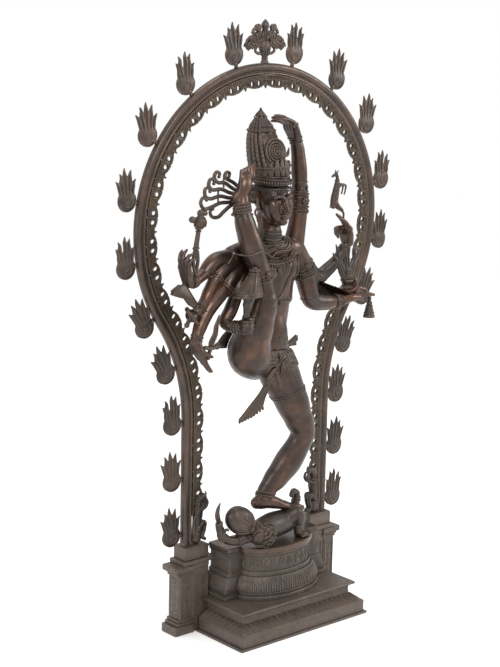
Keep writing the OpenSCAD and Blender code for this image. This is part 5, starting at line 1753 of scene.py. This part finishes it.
def make_fire():
    b, s = Soup(), Soup()
    b.limb([(240, -55, 822), (240, -55, 836), (238, -55, 852)], [[12, 10, 8], [17, 12, 12], [19, 10, 14]],
        0.2)
    rnd = random.Random(5)
    for k, (deg, h, x0) in enumerate(((-40, 72, -15), (-25, 92, -10), (-10, 102, -3), (4, 94, 4),
            (18, 86, 11), (32, 66, 16))):
        a = math.radians(deg)
        base = vec(240 + x0 * 0.8, -55, 838)
        tip = vec(240 + x0 + h * 0.75 * math.sin(a), -55 + rnd.uniform(-5, 5), 830 + h)
        mid = base * 0.45 + tip * 0.55 + vec(-4 if k % 2 else 4, 0, 0)
        pts, rad = curve([base, base * 0.75 + tip * 0.25, mid, base * 0.2 + tip * 0.8, tip],
            [8.4, 8.0, 7.4, 5.0, 1.2], 3)
        b.tube(pts, rad, sides=10, up=(0, 1, 0), flat=0.7)
        s.tube([p + vec(0, -r * 0.7, 0) for p, r in zip(pts[2:], rad[2:])],
            [max(0.4, r * 0.24) for r in rad[2:]], sides=6)
    for y in (-1, 1):
        s.tube([vec(238 + 10 * math.cos(t) * (1 - t / 14), -55 + y * 10.5,
            846 + 10 * math.sin(t) * (1 - t / 14)) for t in np.linspace(0.5, 9, 26)], 1.6, sides=6)
    s.lathe([(6, -8), (13, -6), (17, -1), (18, 2), (15, 3)], (241, -55, 828), (0, 0, 1), 24)
    piece("hand_fire_cast", "statue", DARK, s, fused(b, 1.2, 2), ["fire_bowl"])


def make_bell(skin):
    s = Soup()
    grip(s, skin, (318, -60, 786), 3.6)
    s.lathe([(9.5, -57), (12.4, -59), (15.4, -58.5), (15.2, -55), (13.4, -51), (12.0, -44), (9.4, -33),
        (7.0, -24), (7.6, -22), (7.6, -20),
             (5.6, -18), (4.0, -14), (5.4, -11), (5.4, -8.5), (3.6, -6), (3.4, 0), (4.8, 2), (3.0, 5)],
                 (318, -60, 784), (0, 0, 1), 32)
    for z, r in ((-47, 13.1), (-30, 8.9)):
        s.tube([(318 + r * math.cos(a), -60 + r * math.sin(a), 784 + z) for a in around(28)], 1.1, sides=6,
            closed=True)
    s.ball((318, -60, 728), (4, 4, 5))
    piece("hand_bell_cast", "statue", DARK, s, replaces=["hand_bell"], smooth=40)


# ---------- dress and jewellery ----------

def lay(skin, points, lift=0.0, cast=None):
    """Drops a path onto the skin: nearest points, or hits of rays along cast."""
    out, nor = [], []
    for p in points:
        if cast is None:
            q, n = skin.near(p)
        else:
            q, n = skin.ray(np.asarray(p, float) - unit(cast) * 150, cast, 400)
            if q is None:
                q, n = skin.near(p)
        out.append(q + n * lift)
        nor.append(n)
    return out, nor


def beads_along(s, pts, r, gap, level=1, closed=False):
    pts = list(pts) + ([pts[0]] if closed else [])
    run, left = [], 0.0
    for a, b in zip(pts[:-1], pts[1:]):
        a, b = np.asarray(a, float), np.asarray(b, float)
        d = np.linalg.norm(b - a)
        while left < d:
            run.append(a + (b - a) * left / max(d, 1e-6))
            left += gap
        left -= d
    if run:
        s.balls(run, np.full(3, r) if np.isscalar(r) else r, level)


def armlet(s, skin, centre, normal, r=2.2, rows=(0,), bead=0.0, reach=60, lift=1.0, count=40):
    """Bands round a limb, one for each offset along it, with optional beads between."""
    normal = unit(normal)
    loops = []
    for off in rows:
        c = np.asarray(centre, float) + normal * off
        loop = skin.band(c, normal, count, reach)
        loop = np.array([p + unit(p - c) * lift for p in loop])
        s.tube(loop, r, sides=8, closed=True)
        loops.append((c, loop))
    if bead:
        for (c1, a), (c2, b) in zip(loops[:-1], loops[1:]):
            m = (a + b) / 2
            m = np.array([p + unit(p - (c1 + c2) / 2) * bead * 0.4 for p in m])
            beads_along(s, m, bead, bead * 1.9, closed=True)
    return loops


def rosette(s, centre, normal, r, petals=8):
    n = unit(normal)
    ref = vec(0, 0, 1) if abs(n[2]) < 0.9 else vec(1, 0, 0)
    u = unit(np.cross(ref, n))
    w = np.cross(n, u)
    c = np.asarray(centre, float)
    s.lathe([(0.4, -2.5), (r * 0.9, -2.2), (r, 0), (r * 0.6, 2.2), (0.4, 3.2)], c, n, 20)
    for k in range(petals):
        a = 2 * math.pi * k / petals
        s.ball(c + (math.cos(a) * u + math.sin(a) * w) * r * 0.72 + n * 1.6, r * 0.27, 1)
    s.ball(c + n * 2.6, r * 0.3)


def make_jewellery(skin):
    # collar of several rows round the neck
    s = Soup()
    rows = [(30, 974, 2.0, 0), (34, 967, 2.3, 1), (39, 960, 2.2, 0), (43, 953, 2.6, 1), (48, 946, 2.2, 0),
        (52, 939, 2.8, 1), (57, 931, 2.4, 0), (61, 923, 2.8, 1), (65, 915, 2.4, 0)]
    for rad, z, r, beaded in rows:
        loop = []
        for k in range(64):
            a = 2 * math.pi * k / 64
            front = max(0.0, -math.sin(a))
            p = vec(-22 + rad * 1.06 * math.cos(a), -50 + rad * 0.9 * math.sin(a),
                z - (rad - 20) * 0.42 * front + (rad - 20) * 0.24)
            q, n = skin.near(p)
            loop.append(q + n * 1.0)
        loop = np.array(loop)
        for _ in range(2):
            loop = (np.roll(loop, 1, 0) + 2 * loop + np.roll(loop, -1, 0)) / 4
        if beaded:
            beads_along(s, loop, r * 1.15, r * 2.1, closed=True)
        else:
            s.tube(loop, r, sides=8, closed=True)
    for k in range(-6, 7):
        x = -21 + 8.5 * k
        q, n = lay(skin, [(x, 0, 893 + 0.55 * abs(k) ** 1.75)], 1.6, cast=(0, 1, 0))
        s.ball(q[0], (2.6, 2.4, 4.2))
    q, n = lay(skin, [(-20, 0, 884)], 2.0, cast=(0, 1, 0))
    rosette(s, q[0], n[0], 7)
    piece("collar_necklace", "statue", ORNAMENT, s)

    # threads across the chest
    s = Soup()
    for off in (-3.4, 0.0, 3.4):
        path = [(40 + off, 0, 944), (33 + off, 0, 916), (22 + off, 0, 880), (9 + off, 0, 848),
            (-8 + off, 0, 822), (-28 + off, 0, 806), (-52, 0, 797 + off)]
        dense, _ = curve(path, 1, 6)
        pts, _ = lay(skin, dense, 0.9, cast=(0, 1, 0))
        s.tube(pts, 1.5, sides=8)
    for off in (0.0, 3.6):
        path = [(40 - off, 0, 940), (44 - off, 0, 908), (40 - off, 0, 872), (34 - off, 0, 838),
            (30 - off, 0, 812)]
        dense, _ = curve(path, 1, 6)
        pts, _ = lay(skin, dense, 0.9, cast=(0, 1, 0))
        s.tube(pts, 1.4, sides=8)
    piece("sacred_thread", "statue", ORNAMENT, s)
    s = Soup()
    armlet(s, skin, (-14, -50, 806), (0.04, 0.1, 1), 1.7, (-4.6, 4.6), 2.2, 95, 0.8, 64)
    q, n = lay(skin, [(-12, 0, 806)], 2.0, cast=(0, 1, 0))
    rosette(s, q[0], n[0], 7)
    # ring of the navel
    q, n = lay(skin, [(-14, 0, 722)], 0.0, cast=(0, 1, 0))
    u = unit(np.cross(n[0], vec(0, 0, 1)))
    w = np.cross(n[0], u)
    s.tube([q[0] + 4.4 * (math.cos(a) * u + math.sin(a) * w) for a in around(18)], 1.2, sides=8,
        closed=True)
    s.ball(q[0] - n[0] * 0.6, 2.0)
    piece("chest_band", "statue", ORNAMENT, s)

    # armlets, bracelets and anklets
    s = Soup()
    armlet(s, skin, (76, -50, 1040), (0.02, 0, 1), 2.0, (-30, -22, -9, 9, 22), 2.6, 40, 1.4)
    armlet(s, skin, (76, -50, 1084), (0, 0, 1), 2.0, (0,), 0, 40, 1.0)
    q, n = lay(skin, [(76, 0, 1040)], 2.0, cast=(0, 1, 0))
    rosette(s, q[0], n[0], 11)
    for k in range(7):
        a = 2 * math.pi * k / 7 - 1.2
        p = vec(76 + 22 * math.cos(a), -50 + 22 * math.sin(a), 1064)
        q, n = skin.near(p)
        s.tube([q, q + n * 2 + vec(0, 0, 8), q + n * 1 + vec(0, 0, 14)], [4, 3.6, 0.8], sides=6, up=n,
            flat=0.5)
    armlet(s, skin, (60, -50, 1186), (-0.3, 0, 1), 1.9, (-6, 0, 6), 0, 30, 0.9)
    piece("raised_arm_bands", "statue", ORNAMENT, s)
    s = Soup()
    armlet(s, skin, (94, -52, 868), (0.35, -0.1, -1), 1.9, (-16, -8, 8, 16), 2.6, 50, 1.2)
    armlet(s, skin, (111, -60, 806), (0.2, 0, -1), 1.8, (6,), 0, 45, 0.8)
    armlet(s, skin, (204, -60, 779), (1, 0, 0), 2.4, (-10, -4, 2, 8), 2.3, 30, 1.4)
    for k in range(9):
        a = 2 * math.pi * k / 9
        s.ball(vec(199, -60 + 18 * math.cos(a), 779 + 18 * math.sin(a)), 4.0)
    q, n = skin.near((86, -80, 880))
    rosette(s, q + n, n, 10)
    piece("bell_arm_bands", "statue", ORNAMENT, s)
    s = Soup()
    armlet(s, skin, (234, -45, 906), (0.55, 0, 0.83), 2.0, (-6, 0, 6), 0, 30, 0.9)
    armlet(s, skin, (212, -43, 799), (1, -0.2, 0), 2.0, (-5, 1), 0, 26, 0.9)
    armlet(s, skin, (-264, -70, 877), (-1, -0.4, 0.05), 2.3, (-7, -1, 5), 2.0, 26, 1.2)
    armlet(s, skin, (-262, -82, 748), (-0.4, -0.1, -0.9), 2.0, (-5, 1, 6), 0, 28, 0.9)
    armlet(s, skin, (-248, -74, 814), (-0.8, -0.25, -0.5), 2.0, (-4, 3), 0, 26, 0.9)
    armlet(s, skin, (-166, -110, 768), (0.3, -0.95, 0), 2.2, (-6, 0, 6), 0, 26, 1.0)
    piece("small_bracelets", "statue", ORNAMENT, s)
    s = Soup()
    armlet(s, skin, (-138, -90, 1042), (-0.1, 0.1, 1), 2.4, (-10, -3, 4, 11), 2.4, 34, 1.6)
    for k in range(12):
        a = 2 * math.pi * k / 12
        s.ball(vec(-138 + 24 * math.cos(a), -90 + 22 * math.sin(a), 1026), 3.4)
    armlet(s, skin, (-92, -112, 876), (-0.25, 0.1, 1), 2.0, (-7, 0, 7), 2.2, 44, 1.2)
    q, n = lay(skin, [(-90, 0, 884)], 1.5, cast=(0, 1, 0))
    rosette(s, q[0], n[0], 12, 10)
    q, n = skin.near((-118, -118, 880))
    rosette(s, q + n, n, 8)
    armlet(s, skin, (-27, -61, 324), (0.28, 0.15, 1), 2.6, (-4, 4), 2.0, 36, 1.2)
    piece("leg_bands", "statue", ORNAMENT, s)
    # toe nails
    s = Soup()
    for i in range(5):
        y = -91 + 9.4 * i + (0 if i else -2)
        reach = (32, 29, 25, 20, 14)[i]
        s.ball((40 + reach + 3, y, 280.5), (4.2, 3.6 if i else 4.6, 2.6))
    piece("toe_nails", "statue", BODY, s)

    # seams round the fan of upper arms: a strap at the shoulder and a double band low down
    s = Soup()
    for lift, shift in ((1.2, 0), (1.0, -8)):
        path = [(-206 + 0.3 * shift, 0, 905 + shift), (-182, 0, 878 + shift), (-160, 0, 858 + shift),
            (-138, 0, 842 + shift), (-122, 0, 836 + shift)]
        dense, _ = curve(path, 1, 4)
        pts, _ = lay(skin, dense, lift, cast=(0, 1, 0))
        s.tube(pts, 2.0, sides=8)
        pts, _ = lay(skin, dense, lift, cast=(0, -1, 0))
        s.tube(pts, 2.0, sides=8)
    dense, _ = curve([(-108, 0, 945), (-126, 0, 938), (-146, 0, 926), (-160, 0, 912)], 1, 4)
    pts, _ = lay(skin, dense, 1.0, cast=(0, 1, 0))
    s.tube(pts, 2.2, sides=8)
    s.ball(pts[-1], 4)
    piece("fan_bands", "statue", BODY, s)


def make_cloth(skin):
    # short pleated cloth, beaded belt with a mask clasp, bow and sashes
    s = Soup()
    belt = []
    for z, r, bead in ((686, 2.6, 0), (678, 0, 3.2), (670, 2.8, 0), (661, 0, 3.0), (652, 2.6, 0)):
        loop = skin.band(vec(-6, -52, z), (0.12, 0, 1), 80, 130)
        c = vec(-6, -52, z)
        loop = np.array([p + unit(p - c) * 2.0 for p in loop])
        for _ in range(3):
            loop = (np.roll(loop, 1, 0) + 2 * loop + np.roll(loop, -1, 0)) / 4
        if r:
            s.tube(loop, r, sides=8, closed=True)
        else:
            beads_along(s, loop, bead, bead * 2.0, closed=True)
        belt.append(loop)
    for a, b in ((belt[0], belt[2]), (belt[2], belt[4])):
        for k in range(80):
            p, q = a[k], b[k]
            s.tube([p, (p + q) / 2 + unit(p - vec(-6, -52, p[2])) * 0.6, q], 2.9, sides=6)
    clasp, n = lay(skin, [(-6, 0, 668)], 3.0, cast=(0, 1, 0))
    c = clasp[0]
    s.ball(c, (13, 7, 12), 3)
    for x in (-1, 1):
        s.ball(c + vec(5.5 * x, -6, 4), (3.4, 3, 3.4))
        s.tube([c + vec(9 * x, -3, 7), c + vec(15 * x, -2, 13), c + vec(12 * x, -2, 18)], [3, 2.6, 1.0],
            sides=8, step=3)
        s.tube([c + vec(4 * x, -7, -4), c + vec(9 * x, -6, -7), c + vec(14 * x, -3, -2)], [2, 2, 1.4],
            sides=8, step=3)
        s.tube([c + vec(12 * x, -2, -8), c + vec(24 * x, 4, -22), c + vec(20 * x, 4, -40)], [3, 3, 2],
            sides=8, step=4)
    s.ball(c + vec(0, -8, -1), (3.6, 3.6, 3.2))
    for k in range(9):
        a = math.pi * (0.1 + 0.8 * k / 8)
        s.ball(c + vec(13 * math.cos(a), -2, 12 * math.sin(a)), (3, 3, 4))
    for k in range(5):
        s.tube([c + vec(-6 + 3 * k, -4, -9), c + vec(-9 + 4.5 * k, -3, -22),
            c + vec(-8 + 4 * k, -1, -36 - 3 * (k % 2))], [2.0, 2.0, 1.0], sides=6, step=4)
    # bow at the hip
    knot, _ = skin.near((56, -52, 690))
    s.ball(knot, (9, 8, 8), 3)
    for dx, dz, w in ((34, 14, 9), (30, 2, 8)):
        a = knot
        b = knot + vec(dx, 2, dz)
        s.tube([a, a * 0.5 + b * 0.5, b], [5, w * 0.8, w], sides=12, up=(0, 1, 0), flat=0.55, step=4)
        for e in (-0.5, 0, 0.5):
            s.tube([a + vec(0, -4, 0), b + vec(0, -4.6, e * w * 1.3)], [1.2, 1.4], sides=6)
    s.tube([knot, knot + vec(10, -4, -26), knot + vec(6, -8, -52)], [5, 6.5, 8], sides=10, up=(0, 1, 0),
        flat=0.4, step=5)
    # thigh hem of the short cloth on the standing leg
    loop = skin.band(vec(34, -72, 578), (0.3, -0.15, -1), 60, 75)
    s.tube([p + unit(p - vec(34, -72, 578)) for p in loop], 1.7, sides=8, closed=True)
    loop = skin.band(vec(36, -73, 572), (0.3, -0.15, -1), 60, 75)
    s.tube([p + unit(p - vec(36, -73, 572)) * 0.8 for p in loop], 1.2, sides=8, closed=True)
    # hip lines
    for z in (716, 711):
        loop = skin.band(vec(-14, -52, z), (0, 0, 1), 70, 120)
        s.tube([p + unit(p - vec(-14, -52, z)) * 0.5 for p in loop], 1.2, sides=8, closed=True)
    piece("waist_cloth_cast", "statue", ORNAMENT, s, replaces=["waist_cloth"])

    # pleated fan-ended sash
    s = Soup()
    spine, _ = curve([(-30, -98, 650), (-44, -97, 630), (-60, -94, 598), (-76, -86, 568), (-90, -80, 540)],
        1, 4)
    n = len(spine)
    for k in range(-4, 5):
        pts, rad = [], []
        for i, p in enumerate(spine):
            t = i / (n - 1)
            half_w = 10 + 26 * t ** 2.4
            side = unit(vec(0.86, 0, 0.5) * (1 - t) + vec(0.96, 0, 0.28) * t)
            pts.append(p + side * half_w * k / 4 + vec(0, -1.5 * math.cos(k), 0) + vec(0, 0,
                -4 * t * (1 - abs(k) / 4)))
            rad.append(1.9 + 2.6 * t)
        s.tube(pts, rad, sides=8)
    for t, r in ((0.32, 3.0), (0.42, 2.4), (0.97, 2.4)):
        i = int(t * (n - 1))
        half_w = 12 + 26 * t ** 2.4
        side = unit(vec(0.9, 0, 0.4))
        s.tube([spine[i] + side * half_w * e + vec(0, -4 + 3 * abs(e), -4 * t * (1 - abs(e)))
            for e in np.linspace(-1, 1, 11)], r, sides=8)
    for e in np.linspace(-1, 1, 9):
        p = spine[-1] + unit(vec(0.96, 0, 0.28)) * 38 * e + vec(0, -1, -5 + 3 * abs(e))
        s.ball(p, (3.4, 3, 5.2))
    for k in range(4):
        s.tube([spine[4] + vec(6, -2, 0), spine[6] + vec(16 + 4 * k, -4, -6 - 6 * k),
            spine[8] + vec(24 + 3 * k, -2, -14 - 10 * k)], [3, 3.6, 2.0], sides=8, up=(0, 1, 0), flat=0.6,
            step=4)
    # sash end behind the thigh
    s.tube([(-112, -30, 742), (-128, -26, 722), (-138, -24, 704)], [8, 12, 15], sides=12, up=(0.3, 1, 0),
        flat=0.3, step=5)
    piece("sash_tail_cast", "statue", ORNAMENT, s, replaces=["sash_tail"])


make_rim()
make_frieze()
make_flames()
make_finial()
make_yalis()
make_plinths()
make_drum()
make_piers()
make_dwarf()
BODY_SKIN = make_body()
look = make_head()
make_crown(look)
make_hair()
body_look = Skin(BODY_SKIN)
make_jewellery(body_look)
make_cloth(body_look)
make_club(body_look)
make_axe()
make_dagger()
make_hand_drum()
make_deer()
make_fire()
make_bell(body_look)
